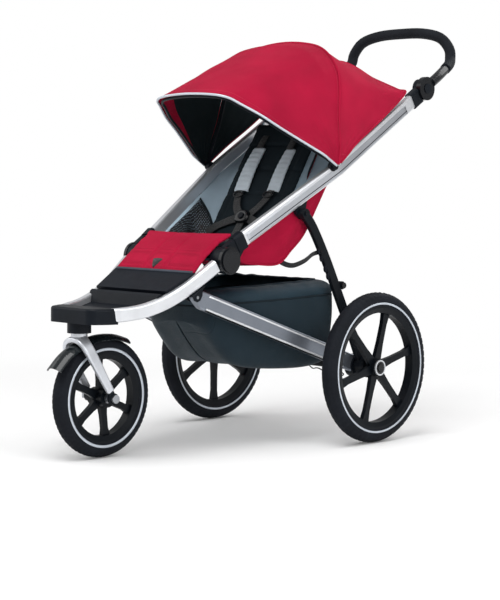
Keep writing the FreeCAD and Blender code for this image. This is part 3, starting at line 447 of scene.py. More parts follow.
def ringed_metal(name, colour, centre, bright_radius):
    """Metal ring round the wheel axis at centre (y, z), black inside bright_radius millimetres."""
    shader = Shader(name, colour, 0.32, metal=0.75)
    shader.vary_rough(shader.noise(40), 0.07)
    split = shader.node("ShaderNodeSeparateXYZ")
    shader.link(shader.place, split.inputs[0])
    middle = at(0, *centre)
    squares = [shader.math("POWER", shader.math("SUBTRACT", split.outputs[axis], middle[axis]), 2.0)
               for axis in (1, 2)]
    radius = shader.math("SQRT", shader.math("ADD", *squares))
    bright = shader.math("GREATER_THAN", radius, bright_radius * MM)
    ramp = shader.node("ShaderNodeValToRGB")
    ramp.color_ramp.elements[0].color = srgb(14, 17, 21)
    ramp.color_ramp.elements[1].color = colour
    shader.link(bright, ramp.inputs[0])
    shader.link(ramp.outputs[0], shader.bsdf.inputs["Base Color"])
    shader.link(shader.math("MULTIPLY", bright, 0.75), shader.bsdf.inputs["Metallic"])
    return shader.material


def webbing_material(name, colour):
    """Coarse woven strap with a slight sheen."""
    shader = Shader(name, colour, 0.62, sheen=0.15)
    shader.tint(shader.noise(25), 0.8, 1.3)
    shader.bump(shader.weave(1.8), 0.3)
    return shader.material


NET_CELLS = 210
NET_THREAD = 0.16


def mesh_material():
    """Open net: holes let the cloth behind show through."""
    shader = Shader("net_black", srgb(14, 18, 22), 0.6)
    cells = shader.node("ShaderNodeTexVoronoi", feature="DISTANCE_TO_EDGE")
    cells.inputs["Scale"].default_value = NET_CELLS
    cells.inputs["Randomness"].default_value = 0.25
    shader.link(shader.place, cells.inputs["Vector"])
    solid = shader.math("LESS_THAN", cells.outputs["Distance"], NET_THREAD)
    shader.link(solid, shader.bsdf.inputs["Alpha"])
    shader.bump(cells.outputs["Distance"], 0.4)
    return shader.material


RED = woven("fabric_red", srgb(170, 17, 54), crease=2.6)
RED_BACK = woven("fabric_red_rear", srgb(176, 20, 57))
RED_PAD = woven("fabric_red_pad", srgb(172, 18, 55), pitch=1.4, crease=2.0)
LINING = woven("fabric_lining", srgb(22, 33, 37), crease=2.2)
SEAT_GREY = woven("fabric_seat_grey", srgb(178, 200, 215), pitch=1.3, crease=2.4)
SEAT_DARK = woven("fabric_seat_dark", srgb(30, 39, 45), pitch=1.3, crease=2.4)
PAD_GREY = woven("fabric_pad_grey", srgb(214, 226, 235), pitch=1.5, crease=1.2)
BASKET_CLOTH = woven("fabric_basket", srgb(24, 42, 52), rough=0.5, crease=3.0, gloss=0.22)
BASKET_TOP = woven("fabric_basket_top", srgb(28, 50, 62), rough=0.45, crease=4.0, gloss=0.28)
WEBBING = webbing_material("webbing_black", srgb(20, 22, 25))
NET = mesh_material()
THREAD_RED = woven("thread_red", srgb(214, 84, 108), pitch=0.8)
SILVER_TAPE = metal("reflective_tape", srgb(196, 203, 212), rough=0.42, metallic=0.35)
BRIGHT = metal("aluminium_bright", srgb(232, 234, 237), rough=0.3, metallic=0.6)
# painted shade: darker grey for the outer side of the upper tubes
SIDE_SHADE_GREY = metal("aluminium_side_painted_shade", srgb(184, 187, 193), rough=0.3, metallic=0.85)
SATIN = metal("aluminium_satin", srgb(222, 224, 228), rough=0.34, metallic=0.75)
RAIL_GREY = metal("rail_grey_paint", srgb(140, 146, 156), rough=0.3, metallic=0.85)
FORK_PAINT = metal("fork_silver_paint", srgb(208, 211, 217), rough=0.33, metallic=0.7)
STEEL = metal("steel_brushed", srgb(160, 163, 168), rough=0.3)
BLACK = moulded("plastic_black", srgb(14, 19, 26), rough=0.42)
GLOSS = moulded("plastic_gloss_black", srgb(15, 17, 21), rough=0.28, grain=0.03, coat=0.3)
RIM = moulded("rim_black", srgb(12, 16, 21), rough=0.36, grain=0.06)
FENDER = moulded("fender_black", srgb(20, 26, 29), rough=0.26, grain=0.03, coat=0.4)
LEG = moulded("leg_black", srgb(15, 19, 24), rough=0.38, grain=0.08)
GREY = moulded("plastic_grey", srgb(16, 21, 29), rough=0.5, gloss=0.12)
PANEL_EDGE = moulded("panel_edge_grey", srgb(62, 68, 78), rough=0.45)
HUB_RING = ringed_metal("hub_ring_silver", srgb(214, 217, 221), REAR_WHEEL, bright_radius=17.2)
PALE = moulded("bushing_pale", srgb(190, 188, 180), rough=0.5)
TYRE = rubber("tyre_rubber", srgb(19, 22, 28))
FOAM = rubber("grip_foam", srgb(20, 23, 28))

SLOT_MATERIALS = {
    "frame_silver": SATIN, "rail_grey": RAIL_GREY, "fork_silver": FORK_PAINT, "black_plastic": BLACK,
    "gloss_black": GLOSS, "leg_black": LEG, "grey_plastic": GREY, "steel": STEEL, "tyre": TYRE,
    "rim_black": RIM, "trim_silver": BRIGHT, "foam": FOAM, "red_fabric": RED, "grey_fabric": SEAT_GREY,
    "dark_fabric": BASKET_CLOTH, "webbing": WEBBING, "bushing": PALE,
}
NODE_MATERIALS = {"fender": FENDER, "axle_tube": LEG, "foot_panel": GREY, "hub_trim_left": HUB_RING,
                  "hub_trim_right": HUB_RING}


def finish_cad_nodes():
    """Gives each carried-over CAD node its node material."""
    slots = {part["node"]: part["material_slot"] for part in frame["record"]["subparts"]}
    for name, obj in NODES.items():
        chosen = NODE_MATERIALS.get(name, SLOT_MATERIALS[slots[name]])
        obj.data.materials.clear()
        obj.data.materials.append(chosen)


# ---------------------------------------------------------------- wheels

TREAD_PITCHES = 66
RING_STEPS = TREAD_PITCHES * 5
SECTION_STEPS = 30
TREAD_DEPTH = 1.5
TREAD_EDGE = 62
TREAD_GROOVES = ((8, 14), (36, 42))
TREAD_SLOT = 0.2
SIDEWALL_DEPTH = 0.6
TYRE_BEAD = 40
REAR_BAND_R = 173.6
REAR_BAND_WIDTH = 5.6
FRONT_BAND_R = 123.2
FRONT_BAND_WIDTH = 7.0
BAND_LIFT = 21.4
BAND_STEPS = 120


def tread_height(around, across):
    """1 on a tread block and 0 in a groove; around is in pitches, across in degrees from the crown."""
    side = 1 if across > 0 else -1
    reach = abs(across)
    if reach > TREAD_EDGE or any(low < reach < high for low, high in TREAD_GROOVES):
        return 0.0
    shift = 0.5 if side > 0 else 0.0
    slot = (around + shift + reach / 90 * side) % 1.0
    return 0.0 if slot < TREAD_SLOT else 1.0


def wheel_point(x, centre, radius, angle):
    """Point on a circle about a wheel's axis."""
    return at(x, centre[0] + radius * math.cos(angle), centre[1] + radius * math.sin(angle))


def tread_tyre(name, node, body, x, centre, outer):
    """Tyre with a block tread, its section left open where it sits on the rim."""
    vertices, faces = [], []
    middle = outer - TYRE_R
    limit = math.radians(180 - TYRE_BEAD)
    angles = [-limit + 2 * limit * i / SECTION_STEPS for i in range(SECTION_STEPS + 1)]
    for ring in range(RING_STEPS):
        turn = math.tau * ring / RING_STEPS
        for across in angles:
            high = tread_height(ring * TREAD_PITCHES / RING_STEPS, math.degrees(across))
            radius = TYRE_R - TREAD_DEPTH * (1 - high)
            if abs(math.degrees(across)) > TREAD_EDGE:
                radius = TYRE_R - TREAD_DEPTH * SIDEWALL_DEPTH
            vertices.append(wheel_point(x + radius * math.sin(across), centre,
                                        middle + radius * math.cos(across), turn))
    count = len(angles)
    for ring in range(RING_STEPS):
        after = (ring + 1) % RING_STEPS
        for c in range(count - 1):
            faces.append((ring * count + c, after * count + c, after * count + c + 1, ring * count + c + 1))
        faces.append((ring * count + count - 1, after * count + count - 1, after * count, ring * count))
    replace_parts(add_mesh(name, vertices, faces, [TYRE], body=body, slot="tyre"), node)


def sidewall_ring(name, body, x, side, centre, radius, width):
    """Thin pale reflective band laid on the sidewall."""
    low, high = radius - width / 2, radius + width / 2
    turns = [math.tau * i / BAND_STEPS for i in range(BAND_STEPS)]
    path = [wheel_point(x, centre, 0.5 * (low + high), turn) for turn in turns]
    path = [p + Vector((side * BAND_LIFT * MM, 0, 0)) for p in path]
    edge, shoulder = width / 2, width / 2 - 0.4
    section = [(-0.5, -edge), (0.5, -shoulder), (0.8, 0), (0.5, shoulder), (-0.5, edge)]
    sweep(name, path, section, [SILVER_TAPE], closed=True, side=Vector((side, 0, 0)), body=body,
          slot="trim_silver")


def wheel_looks(label, body, x, centre, outer, band, faces):
    """One wheel's tyre and its two reflective bands; faces pairs each band's name with its side."""
    tread_tyre("tread_" + label, "tyre_" + label, body, x, centre, outer)
    for face, side in faces:
        sidewall_ring(f"ring_{label}_{face}", body, x, side, centre, *band)


def wheels():
    rear_band = (REAR_BAND_R, REAR_BAND_WIDTH)
    front_band = (FRONT_BAND_R, FRONT_BAND_WIDTH)
    for label, side in SIDES:
        faces = (("outer", side), ("inner", -side))
        wheel_looks(label, "wheel_" + label, side * REAR_WHEEL_X, REAR_WHEEL, REAR_TYRE_R, rear_band, faces)
    wheel_looks("front", "front_wheel", 0, FRONT_WHEEL, FRONT_TYRE_R, front_band, SIDES)


# ---------------------------------------------------------------- hood

HOOD_STEPS = 44
REAR_STEPS = 30
ROOF_RIDGE_SHARE = 0.84
ROOF_RIDGE_LEVEL = 0.945
HEM_ROWS = 6
SEAM_LIFT = 1.5 * MM
HOOD_MIDDLE = at(0, -90, 800)
HOOD_COLUMNS = 6


def along_arc(angle):
    """Direction in the (y, z) plane at an angle in degrees from +y."""
    turn = math.radians(angle)
    return math.cos(turn), math.sin(turn)


def bow_rail(profile, angle):
    """Control points over the whole bow, left to right."""
    dy, dz = along_arc(angle)
    return mirrored([at(x, HOOD_PIVOT[0] + r * dy, HOOD_PIVOT[1] + r * dz) for x, r in profile])


def roof_level(share):
    """Distance of the cloth from the hood pivot, against the bows' own: straight to a ridge, then on."""
    span = math.radians(FRONT_BOW_ANGLE - MID_BOW_ANGLE)
    if share < ROOF_RIDGE_SHARE:
        start, end, low, high = 0.0, ROOF_RIDGE_SHARE, 1.0, ROOF_RIDGE_LEVEL
    else:
        start, end, low, high = ROOF_RIDGE_SHARE, 1.0, ROOF_RIDGE_LEVEL, 1.0
    done = math.sin(span * (share - start))
    left = math.sin(span * (end - share))
    return low * high * math.sin(span * (end - start)) / (low * done + high * left)


def between_bows(share):
    """Control points of the cloth at a share of the way from the front bow to the middle one."""
    angle = FRONT_BOW_ANGLE - 1 + (MID_BOW_ANGLE - FRONT_BOW_ANGLE + 1) * share
    level = roof_level(share)
    profile = [(a[0] + (b[0] - a[0]) * share, (a[1] + (b[1] - a[1]) * share) * level)
               for a, b in zip(FRONT_BOW, MID_BOW)]
    return bow_rail(profile, angle)


def creased(rows, depth, seed, fan=0.0):
    """Rows pushed along their normals by soft creases; fan adds folds that run in from the side hems."""
    normals = grid_normals(rows)
    result = []
    last = len(rows) - 1
    for r, (row, line) in enumerate(zip(rows, normals)):
        edge = math.sin(math.pi * r / last) ** 0.5
        moved = []
        for c, (point, normal) in enumerate(zip(row, line)):
            side = min(c, len(row) - 1 - c) / (len(row) / 2)
            push = depth * wobble(point, 7, seed) + 0.4 * depth * wobble(point, 19, seed + 3)
            push += fan * max(0, 0.45 - side) * math.sin(r * 0.9 + 5 * side)
            moved.append(point + normal * push * edge * min(1, side * 6 + 0.1) * MM)
        result.append(moved)
    return result


def hood():
    front = hood_front()
    rear = hood_rear()
    hood_front_trim(front)
    hood_rear_trim(rear)


def hood_front():
    """Sheet over the two bows, with a lining and a red turned-in hem; returns its rows."""
    rows = [catmull(between_bows(step / HOOD_STEPS), HOOD_COLUMNS) for step in range(HOOD_STEPS + 1)]
    rows = creased(rows, 2.6, 1.0, fan=3.0)
    panel = cloth_sheet("hood_front_cloth", rows, SHEET, [RED, LINING], hem_rows=HEM_ROWS,
                        inside=HOOD_MIDDLE, slot="red_fabric")
    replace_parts(panel, "hood_front_panel")
    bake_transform(panel)
    return rows


def hood_rear():
    """Sheet from the middle bow down to the rear hem, with a slight sag; returns its rows."""
    mid_line = catmull(bow_rail(MID_BOW, MID_BOW_ANGLE - 0.6), HOOD_COLUMNS)
    hem_line = catmull(mirrored([at(*p) for p in REAR_HEM]), HOOD_COLUMNS)
    rows = []
    for step in range(REAR_STEPS + 1):
        share = step / REAR_STEPS
        sag = -5.0 * math.sin(math.pi * share)
        row = [a.lerp(b, share) for a, b in zip(mid_line, hem_line)]
        rows.append([p + Vector((0, 0, sag * MM * min(1, max(0, p.z - 0.8) * 8))) for p in row])
    rows = creased(rows, 2.4, 5.0, fan=2.0)
    back = cloth_sheet("hood_rear_cloth", rows, SHEET, [RED_BACK, LINING], inside=HOOD_MIDDLE,
                       slot="red_fabric")
    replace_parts(back, "hood_rear_panel")
    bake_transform(back)
    return rows


def hood_front_trim(rows):
    """Pale piping on the front edge, and a covered seam over the middle bow."""
    normals = outward_normals(rows, HOOD_MIDDLE)
    edge = [p - n * 0.8 * MM for p, n in zip(rows[0], normals[0])]
    sweep("hood_front_piping", edge, circle(3.1, 12), [SILVER_TAPE], body="front_bow",
          slot="trim_silver")
    stitches("hood_front_stitches", rows[2], normals[2], "front_bow")
    seam = [p + n * SEAM_LIFT for p, n in zip(rows[-1], normals[-1])]
    sweep("hood_middle_seam", seam, [(a * 1.7, b * 0.9) for a, b in circle(1.9)], [RED_BACK],
          body="middle_bow", slot="red_fabric")
    stitches("hood_middle_stitches", rows[-2], normals[-2], "middle_bow")


def hood_rear_trim(rows):
    """Binding on the rear hem, and two rows of stitches along each side hem."""
    normals = outward_normals(rows, HOOD_MIDDLE)
    sweep("hood_rear_binding", rows[-1], circle(2.4), [RED_BACK], body="upper_frame", slot="red_fabric")
    stitches("hood_rear_stitches", rows[-2], normals[-2], "upper_frame")
    for label, column, step in (("left", 3, 2), ("right", len(rows[0]) - 4, -2)):
        for index in range(2):
            line = [row[column + index * step] for row in rows[4:]]
            face = [row[column + index * step] for row in normals[4:]]
            stitches(f"hood_hem_stitches_{label}_{index}", line, face, "upper_frame")


# ---------------------------------------------------------------- cushions

# lengths passed to inflate and sew are in millimetres
SWELL_PRESSURE = 4
SWELL_FRAMES = 20


def inflate(obj, voxel, cap):
    """Swells a closed pad with a short cloth simulation, then caps how far each point has moved."""
    remesh = obj.modifiers.new("voxels", "REMESH")
    remesh.mode = "VOXEL"
    remesh.voxel_size = voxel * MM
    materials = list(obj.data.materials)
    apply_modifiers_keeping(obj, materials)
    rest = [v.co.copy() for v in obj.data.vertices]
    cloth = obj.modifiers.new("swell", "CLOTH")
    cloth.settings.use_pressure = True
    cloth.settings.uniform_pressure_force = SWELL_PRESSURE
    cloth.settings.effector_weights.gravity = 0
    cloth.point_cache.frame_start = 1
    cloth.point_cache.frame_end = SWELL_FRAMES
    scene = bpy.context.scene
    for number in range(1, SWELL_FRAMES + 1):
        scene.frame_set(number)
    apply_modifiers_keeping(obj, materials)
    for vertex, start in zip(obj.data.vertices, rest):
        moved = vertex.co - start
        if moved.length > cap * MM:
            vertex.co = start + moved.normalized() * cap * MM
    scene.frame_set(1)


def apply_modifiers_keeping(obj, materials):
    """Turns the modified shape into the mesh itself, with the materials kept."""
    evaluated = obj.evaluated_get(bpy.context.evaluated_depsgraph_get())
    made = bpy.data.meshes.new_from_object(evaluated)
    obj.modifiers.clear()
    obj.data = made
    made.materials.clear()
    for item in materials:
        made.materials.append(item)


def sew(obj, channels, depth, width, direction):
    """Presses sewn channels into a pad; channels gives a point's distances in mm from the seams."""
    for vertex in obj.data.vertices:
        pressed = 0.0
        for distance in channels(vertex.co):
            pressed = max(pressed, math.exp(-(distance / width) ** 2))
        vertex.co -= direction(vertex.co) * depth * pressed * MM


def finish_pad(obj, node, body):
    """Smooths a pad, then gives it the node it stands for and its body."""
    subdivide = obj.modifiers.new("smooth", "SUBSURF")
    subdivide.levels = 1
    subdivide.render_levels = 1
    apply_modifiers_keeping(obj, list(obj.data.materials))
    for polygon in obj.data.polygons:
        polygon.use_smooth = True
    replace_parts(obj, node)
    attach(obj, body)


BACK_ALONG = Vector((0, math.cos(BACK_LEAN), math.sin(BACK_LEAN)))
BACK_OUT = Vector((0, -math.sin(BACK_LEAN), math.cos(BACK_LEAN)))


def on_back(x, distance, lift):
    """Point on the backrest, from its pivot: distance up it and lift in front of it."""
    return at(x, *RECLINE_PIVOT) + (BACK_ALONG * distance + BACK_OUT * lift) * MM


BACK_LOW = 18
BACK_HIGH = 432
BACK_HALF = 132
BACK_SEAMS = (110, 190, 270, 350)
BACK_SIDE_SEAM = 92


def back_cushion():
    """Padded backrest with four sewn channels across it and one up each side."""
    columns, steps = 22, 32
    rows = []
    for r in range(steps + 1):
        distance = BACK_LOW + (BACK_HIGH - BACK_LOW) * r / steps
        half = BACK_HALF - 10 * (r / steps) ** 3
        rows.append([on_back(-half + 2 * half * c / columns, distance, 5) for c in range(columns + 1)])
    pad = cloth_sheet("back_cushion", rows, 10, [SEAT_DARK])
    inflate(pad, 6, 6)
    origin = at(0, *RECLINE_PIVOT)

    def channels(point):
        up = (point - origin).dot(BACK_ALONG) / MM
        front = (point - origin).dot(BACK_OUT)
        if front < 0:
            return [99]
        return [abs(up - seam) for seam in BACK_SEAMS] + [abs(abs(point.x / MM) - BACK_SIDE_SEAM)]

    sew(pad, channels, 3.5, 5, lambda p: BACK_OUT)
    finish_pad(pad, "seat_back", "seat_back")


def seat_cushion():
    """Padded seat with one sewn channel across it."""
    line = [at(0, -378, 548), at(0, -366, 526), at(0, -310, 512), at(0, -264, 510)]
    line = catmull(line, 5)
    rows = [[p + Vector(((-128 + 256 * c / 20) * MM, 0, 0)) for c in range(21)] for p in line]
    pad = cloth_sheet("seat_cushion", rows, 12, [SEAT_DARK])
    inflate(pad, 6, 6)
    sew(pad, lambda p: [abs(p.y / MM - AXLE_Y + 318)], 3, 5, lambda p: Vector((0, 0, 1)))
    finish_pad(pad, "seat_pan", "upper_frame")


LEG_TOP = (-392.0, 556.0)
LEG_LOW = (-524.0, 453.5)
LEG_HALF = 150
LEG_FLARE = 8
LEG_FLARE_SHARE = 0.24
LEG_CROWN = 10.0
LEG_SEAMS = (("left", 34), ("right", -40))


def leg_point(x, share, lift=0.0):
    """Point on the leg panel's front: share runs from its top edge down to its lower edge."""
    y = LEG_TOP[0] + (LEG_LOW[0] - LEG_TOP[0]) * share
    z = LEG_TOP[1] + (LEG_LOW[1] - LEG_TOP[1]) * share
    run = math.hypot(LEG_LOW[0] - LEG_TOP[0], LEG_LOW[1] - LEG_TOP[1])
    out = ((LEG_LOW[1] - LEG_TOP[1]) / run, -(LEG_LOW[0] - LEG_TOP[0]) / run)
    crown = LEG_CROWN * math.sin(math.pi * share)
    return at(x, y + out[0] * (lift + crown), z + out[1] * (lift + crown))


def leg_half(share):
    """Half width of the leg panel: it flares past the hinge discs at its top edge."""
    flare = max(0.0, 1 - share / LEG_FLARE_SHARE)
    return LEG_HALF + LEG_FLARE * flare * flare * (3 - 2 * flare)


def leg_cushion():
    """Padded red leg panel with two seams down it."""
    rows = []
    for r in range(19):
        share = r / 18
        half = leg_half(share)
        rows.append([leg_point(-half + 2 * half * c / 30, share, 3) for c in range(31)])
    pad = cloth_sheet("leg_cushion", rows, 8, [RED_PAD])
    inflate(pad, 5, 5)
    out = (leg_point(0, 0.5, 1) - leg_point(0, 0.5)).normalized()
    sew(pad, lambda p: [abs(p.x / MM - x) for _, x in LEG_SEAMS], 3.2, 3.2, lambda p: out)
    finish_pad(pad, "leg_panel", "front_frame")
    for label, x in LEG_SEAMS:
        line = [leg_point(x * (1 - 0.12 * i / 30), i / 30, 11) for i in range(1, 29)]
        stitches("leg_seam_" + label, line, [out] * len(line), "front_frame")
    pull_tab(out)
    edge_bar()


def pull_tab(out):
    """Black loop with a triangular end, sewn to the lower part of the leg panel."""
    outline = [(-17, 0.74), (17, 0.74), (19, 0.78), (3, 0.92), (-3, 0.92), (-19, 0.78)]
    loop = chaikin([leg_point(x - 8, share, 13) for x, share in outline], 3)
    centre = sum(loop, Vector()) / len(loop)
    top = [p + out * 3 * MM for p in loop]
    vertices = loop + top + [centre + out * 5 * MM]
    count = len(loop)
    faces = []
    for i in range(count):
        j = (i + 1) % count
        faces += [(i, j, count + j, count + i), (count + i, count + j, 2 * count)]
    faces.append(tuple(reversed(range(count))))
    add_mesh("leg_pull_tab", vertices, faces, [WEBBING], body="front_frame", slot="webbing")


def edge_bar():
    """Grey bar across the frame where the leg panel meets the foot panel."""
    bar = [leg_point(x, 0.965, 13) for x in range(-144, 145, 8)]
    sweep("leg_panel_edge_bar", bar, strap_section(10, 7), [PANEL_EDGE], body="front_frame",
          slot="grey_plastic", side=(leg_point(0, 1) - leg_point(0, 0.5)).normalized())


# ---------------------------------------------------------------- seat sides

def tube_line(y, drop):
    """Point on the inner, lower side of the upper tube."""
    x = 165 + 0.195 * (min(y, -70) + 398)
    return Vector((x, y, 536 + 0.62 * (y + 398) - drop))


WING_STEPS = 44
WING_COLUMNS = 18
WING_SEAT_SHARE = 0.3


def wing_foot(share):
    """Inner edge of a wing: it runs along the seat first, then up beside the backrest."""
    if share < WING_SEAT_SHARE:
        local = share / WING_SEAT_SHARE
        return Vector((120, -366 + 118 * local, 542 - 42 * local))
    local = (share - WING_SEAT_SHARE) / (1 - WING_SEAT_SHARE)
    return Vector((112, -238 + 232 * local, 500 + 372 * local))


def side_wings():
    """Grey cloth from each tube in to the seat and backrest, with hanging folds."""
    for label, side in SIDES:
        rows = []
        for r in range(WING_STEPS + 1):
            share = r / WING_STEPS
            top = tube_line(-374 + 470 * share, 14)
            low = wing_foot(share)
            row = []
            for c in range(WING_COLUMNS + 1):
                v = c / WING_COLUMNS
                point = top.lerp(low, v)
                hang = math.sin(math.pi * v)
                fold = 5 * math.sin(share * 34 + 2.5 * v) * hang ** 0.7
                inward = -(12 + fold) * hang
                row.append(at(side * (point.x - 12 * (1 - v) + inward), point.y, point.z - 8 * hang))
            rows.append(row)
        wing = cloth_sheet("seat_wing_" + label, rows, SHEET, [SEAT_GREY], slot="grey_fabric")
        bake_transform(wing)
        net_pocket(label, side, rows)


def net_pocket(label, side, rows):
    """Open net pocket with an elastic top on the inside of the wing."""
    patch = [[p + Vector((-side * 4 * MM, 0, 2 * MM)) for p in row[1:16]] for row in rows[0:19]]
    cloth_sheet("net_pocket_" + label, patch, NET_SHEET, [NET], slot="dark_fabric", body="upper_frame")
    edge = [row[-1] for row in patch]
    tube("net_pocket_edge_" + label, edge, 2.6, SEAT_DARK, slot="dark_fabric", body="upper_frame")
    tube("net_pocket_rim_" + label, patch[-1], 2.6, SEAT_DARK, slot="dark_fabric", body="upper_frame")


SEAT_MIDDLE = at(0, -260, 640)
SHELL_LOW = [
    (-392, 520), (-368, 494), (-318, 484), (-250, 484), (-208, 520), (-168, 562), (-128, 634), (-96, 694),
]


def seat_sides():
    """Red outer skin below each tube, then the floor and back of the seat."""
    for label, side in SIDES:
        low = catmull([Vector((0, y, z)) for y, z in SHELL_LOW], 6)
        rows = []
        for index, point in enumerate(low):
            share = index / (len(low) - 1)
            top = tube_line(-396 + 304 * share, 24)
            foot = tube_line(point.y, 0).x - 14
            row = []
            for c in range(15):
                v = c / 14
                y = top.y + (point.y - top.y) * v
                z = top.z + (point.z - top.z) * v
                x = top.x - 12 + (foot - top.x + 12) * v
                bulge = 5 * math.sin(math.pi * v) * math.sin(math.pi * share)
                fold = 2.4 * math.sin(9 * share + 6 * v)
                row.append(at(side * (x + (bulge + fold) * math.sin(math.pi * v)), y, z))
            rows.append(row)
        skin = cloth_sheet("seat_side_" + label, rows, SHEET, [RED, SEAT_DARK], slot="red_fabric",
                           inside=SEAT_MIDDLE, body="upper_frame")
        if side > 0:
            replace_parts(skin, "seat_shell")
        edge = [row[-1] for row in rows]
        tube("seat_side_edge_" + label, edge, 2.2, RED_BACK, slot="red_fabric", body="upper_frame")
    shell_floor()
    shell_back()


def shell_floor():
    """Red skin under the seat, sagging to its middle."""
    line = catmull([Vector((0, y, z)) for y, z in SHELL_LOW[1:5]], 6)
    rows = []
    for point in line:
        half = tube_line(point.y, 0).x - 14
        row = []
        for c in range(25):
            u = -1 + 2 * c / 24
            row.append(at(u * half, point.y, point.z - 6 * (1 - u * u)))
        rows.append(row)
    rows = creased(rows, 2, 8.0)
    cloth_sheet("seat_floor", rows, SHEET, [RED, SEAT_DARK], slot="red_fabric", inside=SEAT_MIDDLE,
                body="upper_frame")


def shell_back():
    """Red skin behind the backrest."""
    rows = []
    for r in range(31):
        share = r / 30
        row = []
        for c in range(25):
            u = -1 + 2 * c / 24
            row.append(on_back(u * (140 - 10 * share ** 3), 6 + 430 * share, -15 - 9 * (1 - u * u)))
        rows.append(row)
    rows = creased(rows, 2.4, 12.0)
    cloth_sheet("backrest_skin", rows, SHEET, [RED, SEAT_DARK], slot="red_fabric", inside=SEAT_MIDDLE,
                body="seat_back")


# ---------------------------------------------------------------- harness

# strap paths on the backrest, as (x, distance up it, lift in front of it), with each strap's width
SIDE_STRAPS = (
    ("shoulder_strap_top", [(58, 330, 17), (58, 352, 16), (58, 378, 12), (58, 384, 4)], 25),
    ("shoulder_strap_low", [(58, 198, 16), (54, 170, 19), (40, 140, 21), (22, 120, 21)], 24),
    ("waist_strap", [(22, 104, 21), (60, 92, 19), (98, 74, 17), (122, 58, 12)], 24),
)
CROTCH_STRAP = [(0, 92, 20), (0, 64, 22), (0, 40, 26), (0, 22, 34)]


def harness():
    """Pads, straps and buckle; one strap stands for the CAD's harness."""
    straps = []
    for label, side in SIDES:
        pad = shoulder_pad(label, side)
        if side > 0:
            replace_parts(pad, "shoulder_pads")
        for name, points, width in SIDE_STRAPS:
            line = [on_back(side * x, d, lift) for x, d, lift in points]
            straps.append(strap_piece(f"{name}_{label}", line, width))
        adjuster(f"strap_adjuster_{label}", on_back(side * 56, 182, 21))
    strap_piece("crotch_strap", [on_back(*point) for point in CROTCH_STRAP], 26)
    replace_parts(straps[0], "harness")
    buckle()


def shoulder_pad(label, side):
    """Ribbed grey pad round a shoulder strap, narrower towards its top."""
    rows = []
    for r in range(40):
        share = r / 39
        rib = 1.5 * abs(math.sin(share * math.pi * 9))
        arch = 5 * math.sin(math.pi * share)
        row = []
        for c in range(11):
            u = -1 + 2 * c / 10
            half = 24 - 4 * share
            lift = 14 + rib + arch - 5 * abs(u) ** 3
            row.append(on_back(side * (58 + u * half), 196 + 138 * share, lift))
        rows.append(row)
    return cloth_sheet("shoulder_pad_" + label, rows, 6, [PAD_GREY], slot="grey_fabric", body="seat_back")


def strap_piece(name, points, width):
    """Flat webbing on the backrest."""
    return sweep(name, catmull(points, 8), strap_section(width, 2.2), [WEBBING], slot="webbing",
                 body="seat_back", side=Vector((1, 0, 0)))


def adjuster(name, centre):
    """Three-bar slide on the webbing."""
    loop = chaikin([centre + Vector((1, 0, 0)) * x * MM + BACK_ALONG * d * MM
                    for x, d in ((-16, -9), (16, -9), (16, 9), (-16, 9))], 2)
    tube(name, loop, 2.4, GLOSS, closed=True, slot="gloss_black", body="seat_back")


BUCKLE_UP = 108
BUCKLE_HOLE_R = 9.4
BUCKLE_LEVELS = ((0.94, 13), (1.0, 16), (1.0, 25), (0.93, 29), (0.8, 30))


def buckle():
    """Rounded buckle body around the CAD's press button."""
    corners = ((-23, -19), (23, -19), (26, 4), (15, 20), (-15, 20), (-26, 4))
    outline = chaikin([Vector((x, d, 0)) for x, d in corners], 3)
    count = len(outline)
    vertices, faces = [], []
    for scale, lift in BUCKLE_LEVELS:
        vertices += [on_back(p.x * scale, BUCKLE_UP + p.y * scale, lift) for p in outline]
    for i in range(count):
        turn = math.tau * i / count - 2.4
        x, up = BUCKLE_HOLE_R * math.cos(turn), BUCKLE_HOLE_R * math.sin(turn)
        vertices.append(on_back(x, BUCKLE_UP + up, 29))
    for low in range(0, len(BUCKLE_LEVELS) * count, count):
        high = low + count
        for i in range(count):
            j = (i + 1) % count
            faces.append((low + i, low + j, high + j, high + i))
    faces.append(tuple(range(count)))
    made = add_mesh("buckle_body", vertices, faces, [GLOSS], slot="gloss_black", body="seat_back")
    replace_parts(made, "buckle")


# ---------------------------------------------------------------- basket

# stations from front to back: y, half width at the top and at the floor, height of the floor and the rim
BASKET = [
    (-447, 112, 100, 330, 372), (-400, 140, 104, 268, 380), (-340, 165, 118, 212, 384),
    (-220, 187, 150, 200, 388), (-100, 208, 178, 200, 396), (-44, 212, 186, 222, 398),
]


def basket_loop(pick):
    """Closed plan outline; pick turns a station's sizes into (half width, z)."""
    left = []
    for y, *sizes in BASKET:
        half, z = pick(*sizes)
        left.append(Vector((half, y, z)))
    right = [Vector((-p.x, p.y, p.z)) for p in reversed(left)]
    return chaikin(left + right, 4)


def basket_rings():
    """Outlines from the rim down the side and in under the floor."""
    rim = basket_loop(lambda top, low, floor, high: (top - 2, high))
    belly = basket_loop(lambda top, low, floor, high: (top - 1, high - 0.32 * (high - floor)))
    shoulder = basket_loop(lambda top, low, floor, high: (0.55 * top + 0.45 * low,
                                                          floor + 0.26 * (high - floor)))
    bottom = basket_loop(lambda top, low, floor, high: (low - 8, floor + 3))
    middle = [Vector((0, p.y, p.z)) for p in bottom]
    inner = [p.lerp(q, 0.45) + Vector((0, 0, 2)) for p, q in zip(bottom, middle)]
    return [rim, belly, shoulder, bottom, inner, [p.lerp(q, 0.97) for p, q in zip(bottom, middle)]]


def fold_with_chassis(piece):
    """Lets a piece of the basket ride on the chassis."""
    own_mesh(piece)
    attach(piece, "chassis")


